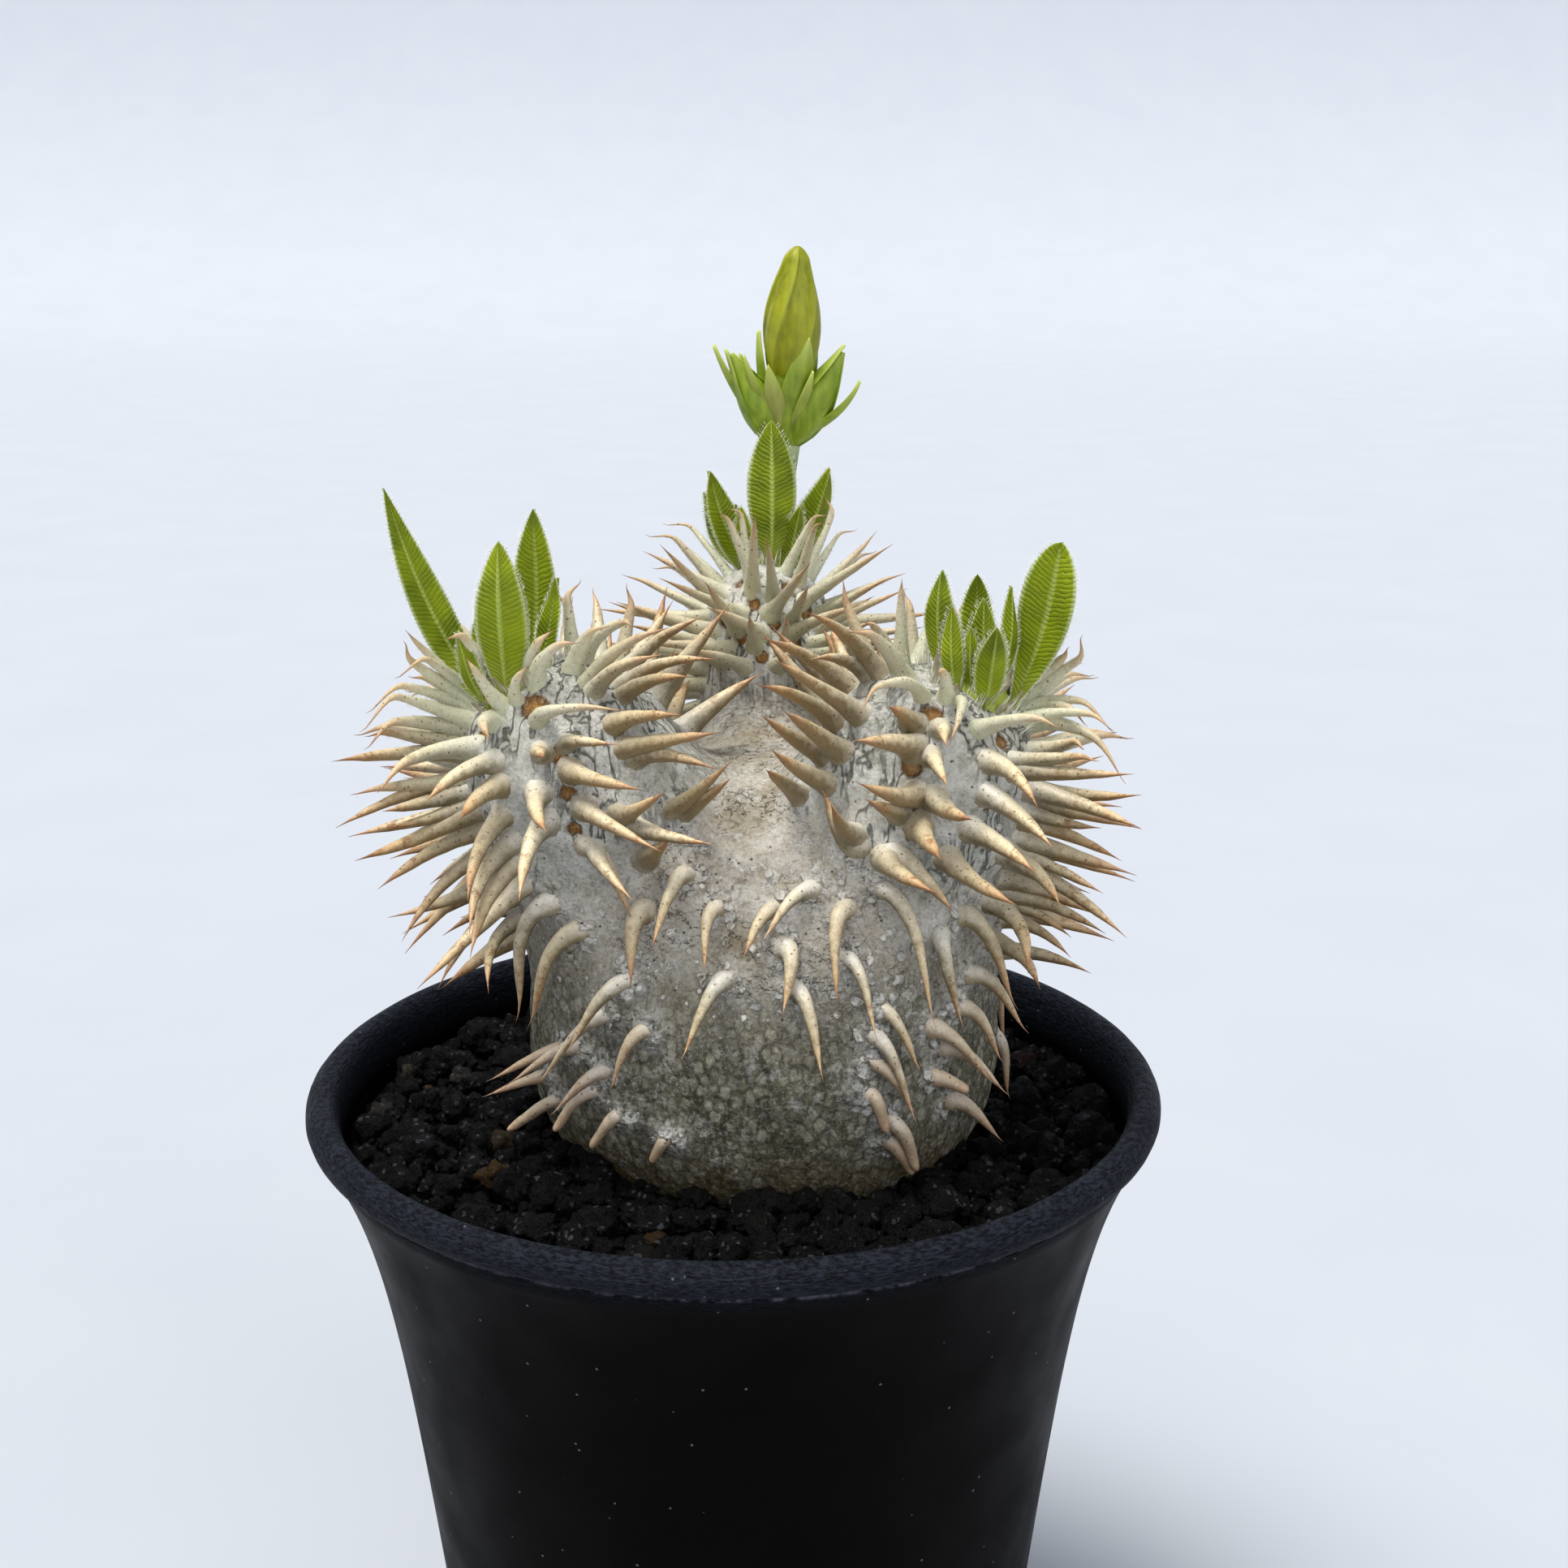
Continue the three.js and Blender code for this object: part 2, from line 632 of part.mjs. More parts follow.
// The skin as an even net of triangles: a ball drawn onto the form, then evened out on it with one
// point held at each arm's crown.
function skinGeometry(offset) {
  const net = welded(new THREE.OctahedronGeometry(1, SKIN_DETAIL));
  const places = net.attributes.position;
  const points = [];
  for (let i = 0; i < places.count; i++) {
    const direction = vector().fromBufferAttribute(places, i).normalize();
    points.push(HEART.clone().addScaledVector(direction, wayOut(HEART, direction)));
  }
  const neighbours = points.map(() => new Set());
  const held = new Map();
  for (const arm of ARMS) {
    const nearest = points.reduce((a, b) =>
      b.distanceToSquared(arm.crown) < a.distanceToSquared(arm.crown) ? b : a,
    );
    nearest.copy(arm.crown);
    held.set(points.indexOf(nearest), arm.crown);
  }
  const index = net.index.array;
  for (let i = 0; i < index.length; i += 3) {
    for (let j = 0; j < 3; j++) {
      const next = i + ((j + 1) % 3);
      neighbours[index[i + j]].add(index[next]);
      neighbours[index[next]].add(index[i + j]);
    }
  }
  for (let round = 0; round < SKIN_ROUNDS; round++) {
    const moved = points.map((p, i) => {
      const pull = vector(0, 0, 0);
      let weight = 0;
      for (const n of neighbours[i]) {
        const w = points[n].distanceToSquared(p);
        pull.addScaledVector(points[n], w);
        weight += w;
      }
      return held.has(i) ? held.get(i).clone() : pull.divideScalar(weight).lerp(p, 0.4);
    });
    moved.forEach((p, i) => {
      settle(p, offset, 1);
      points[i].copy(p);
    });
  }
  points.forEach((p, i) => {
    settle(p, offset, 3);
    places.setXYZ(i, p.x, p.y, p.z);
  });
  return net;
}

// Spines

// A point on a spine's middle line, t from 0 at the skin to 1 at the tip.
function spinePoint(s, t) {
  return s.base
    .clone()
    .addScaledVector(s.direction, s.length * t)
    .addScaledVector(s.bend, (s.length * t * t) / 2)
    .addScaledVector(s.hook, (s.length * t * t * t) / 3);
}

function azimuthOf(p) {
  return THREE.MathUtils.radToDeg(Math.atan2(p.x - BODY.middle.x, BODY.middle.y - p.y));
}

// The pairs of spines up one arm, spaced by area from the crown down, each a golden angle on.
function armSpines(arm, armNumber) {
  const spines = [];
  const radius = arm.radii[2];
  const cap = 2 * Math.PI * radius * radius;
  const upperLength = arm.end.distanceTo(arm.elbow);
  const lowerUp = arm.elbow.clone().sub(arm.foot).normalize();
  for (let i = 0; i < arm.pairs; i++) {
    const area = arm.tuftRoom + arm.pairRoom * i;
    const azimuth = degrees(GOLDEN_ANGLE * i + arm.turn);
    const onCap = area < cap * 0.98;
    const down = onCap ? 0 : (area - cap) / (2 * Math.PI * (radius + 1.5));
    const tilt = onCap ? Math.acos(1 - area / cap) : Math.PI / 2;
    const along = arm.up.clone();
    const from = arm.end.clone();
    if (down < upperLength) {
      from.addScaledVector(arm.up, -down);
    } else {
      from.copy(arm.elbow).addScaledVector(lowerUp, upperLength - down);
      along.addScaledVector(lowerUp, Math.min(1, (down - upperLength) / 6)).normalize();
    }
    const across = along.clone().cross(vector(0, -1, 0)).normalize();
    const radial = across.clone().multiplyScalar(Math.cos(azimuth));
    radial.addScaledVector(along.clone().cross(across), Math.sin(azimuth));
    const direction = along.clone().multiplyScalar(Math.cos(tilt));
    direction.addScaledVector(radial, Math.sin(tilt));
    const distance = wayOut(from, direction);
    const outward = direction.dot(arm.out);
    const reach = THREE.MathUtils.lerp(REACH_INSIDE, REACH_OUTSIDE, Math.max(0, outward));
    if (distance === 0 || distance > reach || (down > FORK_DEPTH && outward < -0.2)) {
      continue;
    }
    const scar = from.clone().addScaledVector(direction, distance);
    const listed = FRONT_FIELDS.some(
      (field) => Math.abs(azimuthOf(scar)) < field.azimuth && scar.z < RIM_Z + field.top,
    );
    const seen = skinNormal(scar).dot(VIEWER.clone().sub(scar).normalize()) > SEEN_BY_VIEWER;
    if (scar.z < LOWEST_SPINE || listed || (arm.listed && seen)) {
      continue;
    }
    const side = along.clone().cross(skinNormal(scar)).normalize();
    const youth = Math.max(0, 1 - area / cap);
    const droop = Math.min(1, down / FULL_DROOP);
    for (const hand of [-1, 1]) {
      const seed = (armNumber * 200 + i * 2 + (hand + 1) / 2) * 7;
      const draw = (n) => chance(seed + n);
      const base = scar.clone().addScaledVector(side, hand * (PAIR_HALF + 0.4 * (draw(0) - 0.5)));
      settle(base, 0, 4);
      const spine = { base, pair: i, radius: SPINE_RADIUS - 0.6 * youth };
      spine.direction = skinNormal(base)
        .addScaledVector(along, 0.15 + arm.lift * youth - 0.25 * droop + 0.3 * (draw(2) - 0.5))
        .addScaledVector(side, hand * (0.22 + 0.3 * (draw(1) - 0.5)))
        .normalize();
      spine.length = (SPINE_LENGTH + SPINE_SPREAD * (draw(3) - 0.3)) * (1 - 0.25 * youth);
      if (down > SHORT_FROM) {
        spine.length *= SHORTER;
      }
      spine.bend = vector(0, 0, -(0.15 + 0.65 * droop) * (0.6 + 0.8 * draw(4)))
        .addScaledVector(side, hand * 0.15)
        .addScaledVector(along, down < 6 ? 0.25 * (1 - youth) : 0);
      spine.hook = spine.bend.clone().multiplyScalar(-HOOK_SHARE).add(vector(0, 0, 0.1 * (draw(5) - 0.5)));
      spines.push(spine);
    }
  }
  return spines;
}

// A spine that leaves the skin squarely and bends over to end at its reach, times its length.
function claw(base, reach, length, radius) {
  const direction = skinNormal(base).addScaledVector(reach, CLAW_LEAN);
  const bend = reach.clone().sub(direction).divideScalar(1 / 2 - HOOK_SHARE / 3);
  return { base, direction, length, radius, bend, hook: bend.clone().multiplyScalar(-HOOK_SHARE) };
}

// One spine of a front arm, whose foot and tip line up for the viewer with two points of the reading
// plane. It points out of the plane, to the viewer where its foot does, by what its length leaves over.
function headSpine(footX, footHeight, tipX, tipHeight, length, radius) {
  const sight = (x, height) => vector(x, READING_Y, RIM_Z + height).sub(VIEWER).normalize();
  const toFoot = sight(footX, footHeight);
  const base = VIEWER.clone();
  let least = Infinity;
  for (let far = SIGHT_RANGE[0]; far < SIGHT_RANGE[1] && least > 0; far += 0.5) {
    const at = VIEWER.clone().addScaledVector(toFoot, far);
    const distance = skinDistance(at);
    if (distance < least) {
      least = distance;
      base.copy(at);
    }
  }
  settle(base, 0, 6);
  const toTip = sight(tipX, tipHeight);
  const across = base.clone().sub(VIEWER);
  const abreast = across.dot(toTip);
  const spare = length * length - (across.lengthSq() - abreast * abreast);
  const nearer = skinNormal(base).dot(toFoot) < 0.1 ? -1 : 1;
  const tip = VIEWER.clone().addScaledVector(toTip, abreast + nearer * Math.sqrt(Math.max(spare, 0)));
  const reach = tip.sub(base);
  const span = reach.length();
  return claw(base, reach.divideScalar(span), span, radius);
}

// One spine of the barrel, at an azimuth and height. Seen from the front it hangs down by its length
// and swings to one side, and it stands off the skin a little.
function barrelSpine(azimuth, height, length, swing, radius) {
  const level = vector(BODY.middle.x, BODY.middle.y, RIM_Z + height);
  const base = level.clone().addScaledVector(heading(azimuth, 90), wayOut(level, heading(azimuth, 90)));
  settle(base, 0, 4);
  const normal = skinNormal(base);
  const turn = degrees(swing);
  const facing = Math.abs(azimuth) < 90 ? vector(1, 0, 0) : heading(azimuth + 90, 90);
  const reach = facing.multiplyScalar(Math.sin(turn)).addScaledVector(UP, -Math.cos(turn));
  reach.addScaledVector(normal, Math.max(LEAST_STAND_OFF, STAND_OFF - reach.dot(normal)));
  return claw(base, reach, length, radius);
}

function listedSpines() {
  const spines = HEAD_SPINES.map((row) => headSpine(...row));
  spines.push(...FRONT_SPINES.map((row) => barrelSpine(...row)));
  const back = BACK_SPINES;
  for (let i = 0; i < back.count; i++) {
    const azimuth = back.firstAzimuth + ((i * GOLDEN_ANGLE) % back.span);
    const height = back.low + ((back.high - back.low) * (i + 0.5)) / back.count;
    const swing = back.swing * (2 * chance(i + 900) - 1);
    const length = THREE.MathUtils.lerp(...back.length, chance(i + 950));
    spines.push(barrelSpine(azimuth, height, length, swing, back.radius));
  }
  return spines;
}

// A horn round a middle line, thick for its first third. Its stations run from the sunk root up.
function hornGeometry(s, sides, grow) {
  const horn = new THREE.ConeGeometry(1, 1, sides, SPINE_STATIONS.length - 1);
  const across = s.direction.clone().cross(vector(0.31, 0.87, 0.39)).normalize();
  const upright = s.direction.clone().cross(across).normalize();
  const ahead = s.direction.clone().add(s.bend).add(s.hook).normalize();
  return reshape(horn, (p) => {
    const station = Math.round((p.y + 0.5) * (SPINE_STATIONS.length - 1));
    const t = SPINE_STATIONS[station];
    const turn = Math.atan2(p.z, p.x);
    const onAxis = Math.hypot(p.x, p.z) < 1e-6;
    const thick = (1 - t) ** 1.35 * (1 + 1.3 * t);
    const radius = onAxis ? 0 : s.radius * thick + FLAT_SIDE_ALLOWANCE * grow;
    const middle = spinePoint(s, t);
    if (station === 0) {
      middle.addScaledVector(s.direction, -SPINE_ROOT);
    }
    if (t === 1) {
      middle.addScaledVector(ahead, 2 * FLAT_SIDE_ALLOWANCE * grow);
    }
    p.copy(middle)
      .addScaledVector(across, radius * Math.cos(turn))
      .addScaledVector(upright, -radius * Math.sin(turn));
  });
}

const keptSpines = ARMS.flatMap((arm, i) => armSpines(arm, i))
  .filter((s) => s.pair % PAIR_CYCLE < PAIRS_KEPT)
  .concat(listedSpines());

// The whole plant without its leaves and flower, or the same form grown by a clearance.
function makeCaudex(grow) {
  const roots = ROOTS.map(([azimuth, slope, length, radius]) => ({
    base: ROOT_START,
    direction: heading(azimuth, 90 + slope),
    length,
    radius,
    bend: vector(0, 0, -0.3),
    hook: vector(0, 0, 0),
  }));
  return joined([
    solidOf(skinGeometry(grow)),
    ...keptSpines.map((s) => solidOf(hornGeometry(s, SPINE_SIDES, grow))),
    ...roots.map((r) => solidOf(hornGeometry(r, ROOT_SIDES, grow))),
  ]);
}

// The soil

function makeSoil(plantHole) {
  const bottom = FLOOR_Z + FLOOR_THICK + GAP;
  const side = insideOutline(bottom, GAP);
  const edge = side[side.length - 1][0];
  const top = [];
  for (let i = 1; i < SOIL_RINGS; i++) {
    top.push([edge * (1 - i / SOIL_RINGS), SOIL_Z]);
  }
  const block = turned([[0, bottom], ...side, ...top, [0, SOIL_Z]], POT_SIDES);
  const heaped = reshape(block, (p) => {
    const radius = Math.hypot(p.x, p.y);
    if (p.z < SOIL_Z - 0.01 || radius > edge - 0.1) {
      return;
    }
    const cell = Math.round(p.x * 10) * 0.37 + Math.round(p.y * 10) * 0.73;
    p.z += GRAIN_RELIEF * (chance(cell) - 0.5) + SOIL_MOUND * (1 - radius / edge);
  });
  return solidOf(heaped).subtract(plantHole);
}

// Leaves

// A blade: foot, direction, the side that it faces, length, width, arch outwards and bluntness.
function bladeGeometry(b, [columns, rows]) {
  const blade = new THREE.BoxGeometry(1, 1, 1, columns, rows, 1);
  const across = b.direction.clone().cross(b.facing).normalize();
  const face = across.clone().cross(b.direction).normalize();
  return reshape(blade, (p) => {
    const v = p.y + 0.5;
    const tip = THREE.MathUtils.lerp(0.12, 0.45, b.blunt);
    const outline = Math.sin(Math.PI * (0.1 + 0.9 * v) ** (0.75 + 0.35 * b.blunt)) ** 0.8;
    const half = (b.width / 2) * Math.max(v > 0.5 ? tip * 0.6 : 0.22, outline);
    const u = p.x * 2;
    const w = p.z;
    p.copy(b.foot)
      .addScaledVector(b.direction, b.length * v)
      .addScaledVector(face, -b.arch * b.length * v * v)
      .addScaledVector(across, u * half)
      .addScaledVector(face, BLADE_FOLD * Math.abs(u) * half + w * BLADE_THICK);
  });
}

function makeTuft(tuft) {
  const arm = ARMS[tuft.arm];
  const radius = arm.radii[2];
  const edge = degrees(tuft.coreTilt);
  const top = new THREE.Quaternion().setFromUnitVectors(UP, arm.up);
  const profile = [
    [0, radius * 0.8],
    [radius * Math.sin(edge) * 0.9, radius * 0.8],
    [radius * Math.sin(edge), radius * Math.cos(edge) + CORE_HEIGHT * 0.6],
    [radius * Math.sin(edge) * 0.55, radius * Math.cos(edge * 0.55) + CORE_HEIGHT],
    [0, radius + CORE_HEIGHT * 1.3],
  ];
  const core = turned(profile, CORE_SIDES).applyQuaternion(top).translate(...arm.end.toArray());
  const parts = [solidOf(core)];
  for (const [azimuth, tilt, length, width, lean, blunt] of tuft.leaves) {
    const outward = heading(azimuth, tilt).applyQuaternion(top);
    const foot = arm.end.clone().addScaledVector(outward, radius + CORE_HEIGHT * 0.6);
    const direction = heading(azimuth, lean);
    const inward = heading(azimuth, 90).negate();
    const facing = inward.addScaledVector(LIGHT, inward.dot(LIGHT) < -0.3 ? -0.9 : 0.9);
    foot.addScaledVector(direction, -BLADE_SINK);
    const blade = { foot, direction, facing, length: length + BLADE_SINK, width, arch: -0.04, blunt };
    parts.push(solidOf(bladeGeometry(blade, length < LONG_LEAF ? BRACT_NET : LEAF_NET)));
  }
  return joined(parts);
}

// The flower stalk and its buds

// A round bar from a foot along a direction, its radius given at even stations.
function stemGeometry(foot, tip, radii, sides, grow) {
  const bar = new THREE.CylinderGeometry(1, 1, 1, sides, radii.length - 1);
  const along = tip.clone().sub(foot);
  const upright = new THREE.Quaternion().setFromUnitVectors(UP, along.clone().normalize());
  bar.rotateX(Math.PI / 2);
  return reshape(bar, (p) => {
    const share = p.z + 0.5;
    const onAxis = Math.hypot(p.x, p.y) < 1e-6;
    const radius = onAxis ? 0 : radii[Math.round(share * (radii.length - 1))] + 1.2 * grow;
    const turn = Math.atan2(p.y, p.x);
    p.set(radius * Math.cos(turn), radius * Math.sin(turn), 0).applyQuaternion(upright);
    p.addScaledVector(along, share).add(foot);
  });
}

function budAxis() {
  return BUD_TIP.clone().sub(STALK_NODE).normalize();
}

// The main bud: petals rolled over each other, which show as twisted ridges.
function makeBud(grow) {
  const axis = budAxis();
  const foot = STALK_NODE.clone().addScaledVector(axis, BUD_SEAT);
  const length = BUD_TIP.distanceTo(foot);
  const radii = MAIN_BUD_SHAPE.map((share) => share * BUD_RADIUS);
  const bar = stemGeometry(vector(0, 0, 0), vector(0, 0, length), radii, BUD_RIBS * 2, grow);
  const upright = new THREE.Quaternion().setFromUnitVectors(UP, axis);
  const rolled = reshape(bar, (p) => {
    const share = p.z / length;
    const rib = Math.round((Math.atan2(p.y, p.x) / Math.PI) * BUD_RIBS);
    const swell = rib % 2 === 0 ? 1 : 0.86;
    p.set(p.x * swell, p.y * swell, p.z).applyAxisAngle(UP, degrees(BUD_TWIST) * share);
    p.z += 1.5 * grow * (2 * share - 1);
    p.applyQuaternion(upright).add(foot);
  });
  return solidOf(rolled);
}

function makeStalk(grow) {
  const axis = budAxis();
  const cupTop = STALK_NODE.clone().addScaledVector(axis, CUP_LENGTH);
  const stalk = [STALK_RADIUS, STALK_RADIUS, STALK_RADIUS * 1.15, STALK_RADIUS * 1.3];
  const cup = [CUP_FOOT_RADIUS, CUP_RADIUS * 0.92, CUP_RADIUS];
  const parts = [
    solidOf(stemGeometry(STALK_FOOT, STALK_NODE.clone().addScaledVector(axis, 1), stalk, 8, grow)),
    solidOf(stemGeometry(STALK_NODE, cupTop, cup, 8, grow)),
  ];
  for (const [footX, footY, footHeight, tipX, tipY, tipHeight, width] of NODE_BLADES) {
    const foot = above(footX, footY, footHeight);
    const direction = above(tipX, tipY, tipHeight).sub(foot);
    const length = direction.length();
    const facing = STALK_NODE.clone().sub(foot).setZ(0).normalize();
    const blade = { foot, direction: direction.normalize(), facing, length, width, arch: 0, blunt: 0.2 };
    parts.push(solidOf(bladeGeometry(blade, BRACT_NET)));
  }
  for (const bud of SIDE_BUDS) {
    const along = bud.tip.clone().sub(STALK_NODE);
    const foot = STALK_NODE.clone().addScaledVector(along, SIDE_BUD_START);
    const radii = SIDE_BUD_SHAPE.map((share) => share * bud.radius);
    const stem = [1, 1].map((share) => share * STALK_RADIUS * 0.8);
    parts.push(solidOf(stemGeometry(STALK_NODE, foot.clone().addScaledVector(along, 0.1), stem, 6, grow)));
    parts.push(solidOf(stemGeometry(foot, bud.tip, radii, 7, grow)));
  }
  return joined(parts);
}

const caudexGrown = makeCaudex(GAP);
const stalkWhole = makeStalk(0);
const bud = makeBud(0);
const stalk = stalkWhole.subtract(makeBud(GAP)).subtract(caudexGrown);
const group = new THREE.Group();

function addNode(name, solid, color, roughness) {
  const material = new THREE.MeshStandardMaterial({ color, roughness, metalness: 0 });
  const mesh = new THREE.Mesh(geometryOf(solid), material);
  mesh.name = name;
  group.add(mesh);
}

addNode("pot", makePot(), 0x16171a, 0.55);
addNode("soil", makeSoil(caudexGrown), 0x1c1b1c, 0.95);
addNode("caudex", makeCaudex(0), 0xb3ae96, 0.85);
const stalkGrown = makeStalk(GAP);
for (const tuft of TUFTS) {
  addNode(tuft.name, makeTuft(tuft).subtract(caudexGrown).subtract(stalkGrown), 0x74a02c, 0.5);
}
addNode("flower_stalk", stalk, 0x8fae4e, 0.6);
addNode("flower_bud", bud, 0xb4bf1e, 0.55);

export default group;
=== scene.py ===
"""A potted pachypodium with three spiny arms, young leaves and one flower stalk.

The plant's form is worked out in millimetres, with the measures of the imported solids. Each mesh is
scaled to metres where it is made. Azimuths are in degrees, 0 towards the viewer and 90 to the right.
"""

import math

import bpy
import numpy as np
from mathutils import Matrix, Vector


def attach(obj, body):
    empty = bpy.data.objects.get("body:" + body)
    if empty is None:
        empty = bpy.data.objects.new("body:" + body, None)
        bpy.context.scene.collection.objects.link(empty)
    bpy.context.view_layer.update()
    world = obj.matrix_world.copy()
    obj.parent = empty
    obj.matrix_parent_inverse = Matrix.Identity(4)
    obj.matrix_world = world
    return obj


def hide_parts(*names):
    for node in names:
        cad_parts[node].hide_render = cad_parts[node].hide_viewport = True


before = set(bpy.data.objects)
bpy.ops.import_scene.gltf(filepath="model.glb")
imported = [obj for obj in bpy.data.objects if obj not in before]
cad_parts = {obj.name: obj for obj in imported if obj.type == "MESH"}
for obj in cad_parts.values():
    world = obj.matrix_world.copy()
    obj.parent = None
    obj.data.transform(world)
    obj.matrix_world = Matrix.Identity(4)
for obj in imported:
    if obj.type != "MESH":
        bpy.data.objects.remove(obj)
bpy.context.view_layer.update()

MM = 0.001


def vec(*numbers):
    return np.array(numbers, float)


UP = vec(0, 0, 1)

# The pot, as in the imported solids.
RIM_Z = 96.0
RIM_RADIUS = 52.5
NECK_RADIUS = 45.5
TAPER = 0.111
FLARE = 6.8
FLARE_DEPTH = 13.0
WALL = 1.4
FLOOR_Z = 3.0
FLOOR_THICK = 1.8
FOOT_RING = 2.8
RIM_SECTION = [
    (2.0, -2.2), (0.9, -1.7), (0.25, -1.1), (0, -0.4), (0.03, 0.2), (0.25, 0.75), (0.65, 1.2), (1.1, 1.5),
    (1.6, 1.72), (2.2, 1.8), (2.75, 1.68), (3.2, 1.4), (3.6, 0.8), (3.9, 0),
]
SOIL_Z = RIM_Z - 5.5
POT_SIDES = 256
# Drain holes: one in the middle, and a ring of smaller ones.
MIDDLE_HOLE = 5.0
RING_HOLE = 3.5
RING_HOLES = 6
HOLE_RING = 20.0
# Notches through the foot ring: number, half width and height.
NOTCHES = 4
NOTCH_HALF = 3.0
NOTCH_TOP = 1.2

# The soil: clear air to the pot, the bed's depth under the granules, and its rise to the middle.
CLEAR_AIR = 0.3
BED_SUNK = 1.7
SOIL_SIDES = 240
HEAP = 0.6

# The caudex: a barrel with a soft fillet to three arms.
BODY_MIDDLE = vec(3.8, 0, RIM_Z + 9.5)
BODY_HALF_X = 28.6
BODY_HALF_Y = 24.5
BODY_UP = 27.0
BODY_DOWN = 26.0
SQUARENESS = 2.5
BODY_SCALE = 25.0
HEART = vec(3.8, 0, RIM_Z + 24)
BLEND = 9.0
# Edges of the net are about 0.5 mm long after the splits.
NET_PARTS = 16
NET_ROUNDS = 90
NET_SPLITS = 3


def above(x, y, z):
    return vec(x, y, RIM_Z + z)


# An arm: its foot, elbow and crown, its radii there, its pairs of spines, the skin's area that each
# pair and the tuft takes, how far young spines lift, where the pairs begin to turn, whether the
# viewer's side has listed spines, and the crown's hairs and bracts.
FRONT_ARM = {
    "radii": (14, 12.6, 11.2),
    "pairs": 96,
    "pair_room": 23,
    "tuft_room": 125,
    "lift": 0.9,
    "listed": True,
    "wool": 520,
    "bracts": 16,
}
ARMS = [
    {
        **FRONT_ARM,
        "foot": above(-3, -2, 22),
        "elbow": above(-16, -6.5, 38),
        "crown": above(-24.4, -9, 53),
        "turn": 0,
    },
    {
        **FRONT_ARM,
        "foot": above(11, -2, 22),
        "elbow": above(20.2, -6.5, 38),
        "crown": above(28.1, -9, 52.6),
        "turn": 40,
    },
    {
        "foot": above(4, 4, 26),
        "elbow": above(4, 16, 42),
        "crown": above(4, 25, 60),
        "radii": (10, 8, 7),
        "pairs": 50,
        "pair_room": 18,
        "tuft_room": 48,
        "lift": 0.4,
        "turn": 80,
        "listed": False,
        "wool": 300,
        "bracts": 10,
    },
]
# Each pair of spines stands a golden angle on from the last. There is none where the skin is further
# from the arm's middle than its reach, on the side to the other arms or away from them, nor deep in
# the fork or low on the barrel.
GOLDEN_ANGLE = 137.508
REACH_INSIDE = 14.0
REACH_OUTSIDE = 27.0
FORK_DEPTH = 8.0
LOWEST_SPINE = RIM_Z + 19
# The spines of the arms: length and how far it varies, radius, depth of the foot in the skin, half
# the room between a pair, and how far down they droop fully and grow shorter, by what share.
SPINE_LENGTH = 13.5
SPINE_SPREAD = 3.5
SPINE_RADIUS = 1.75
SPINE_ROOT = 1.6
PAIR_HALF = 1.9
FULL_DROOP = 12.0
SHORT_FROM = 16.0
SHORTER = 0.8
# The listed spines: how far a barrel spine stands off and the least of it, then for all of them the
# hook and the lean towards the tip.
STAND_OFF = 0.4
LEAST_STAND_OFF = 0.12
HOOK_SHARE = 0.45
CLAW_LEAN = 0.25
# Barrel spines shorter than this have lost their points.
STUB_LENGTH = 7.2
# A barrel spine's rise off the skin beside its foot, and the flick of its tip.
KNUCKLE = 0.52
TIP_FLICK = -0.35
# Hairs for each millimetre of a young spine.
YOUNG_HAIRS = 7
# Spines are numbered by their arm: 0 left, 1 right, 2 back, and 3 for the barrel.
BACK_ARM = 2
BARREL = 3
HORN_RINGS = 21
HORN_SIDES = 10
# How wide the horns are drawn against their listed radius, by arm.
HORN_WIDTHS = (0.82, 0.82, 0.56, 0.72)
# How a horn is built: spacing of its rings, thinning, and the height and length of its flare.
ARM_HORN = (1.15, 0.74, 0.5, 1.3)
BARREL_HORN = (1.7, 0.92, 0.3, 0.9)
# The back arm is the youngest: its spines look at least this young.
BACK_YOUTH = 0.42
# Tones up a horn: painted light for its upper side, painted shade for its underside, and its tones while
# it is young.
LIT_HORN = [
    (0, "e8e4d8"), (0.12, "dcd4bd"), (0.5, "f1e0b9"), (0.76, "e6c092"), (0.9, "b57650"), (1, "4f221a"),
]
SHADED_HORN = [
    (0, "958c76"), (0.12, "6a6148"), (0.5, "786440"), (0.76, "89623b"), (0.9, "7d4a2c"), (1, "35160f"),
]
YOUNG_HORN = [(0, "ccd1b4"), (0.55, "dcd9bf"), (0.82, "d0b58c"), (1, "7a3a22")]
# The bark's cobbles are about this wide.
COBBLE = 1.25
# Torn bark: scales round each spine of the barrel, loose ones on its upper half, sizes and sides.
COLLAR_FLAKES = 13
LOOSE_FLAKES = 450
FLAKE_SIZES = (0.6, 2.3)
FLAKE_SIDES = 6
# The photograph's viewpoint, solved from the rim's ellipse, and the plane that it is read on.
VIEWER = vec(6.1, -243.8, 202.2)
PITCH_DOWN = 15.56
LENS = 48.447
SENSOR = 36.0
READING_Y = -9.0
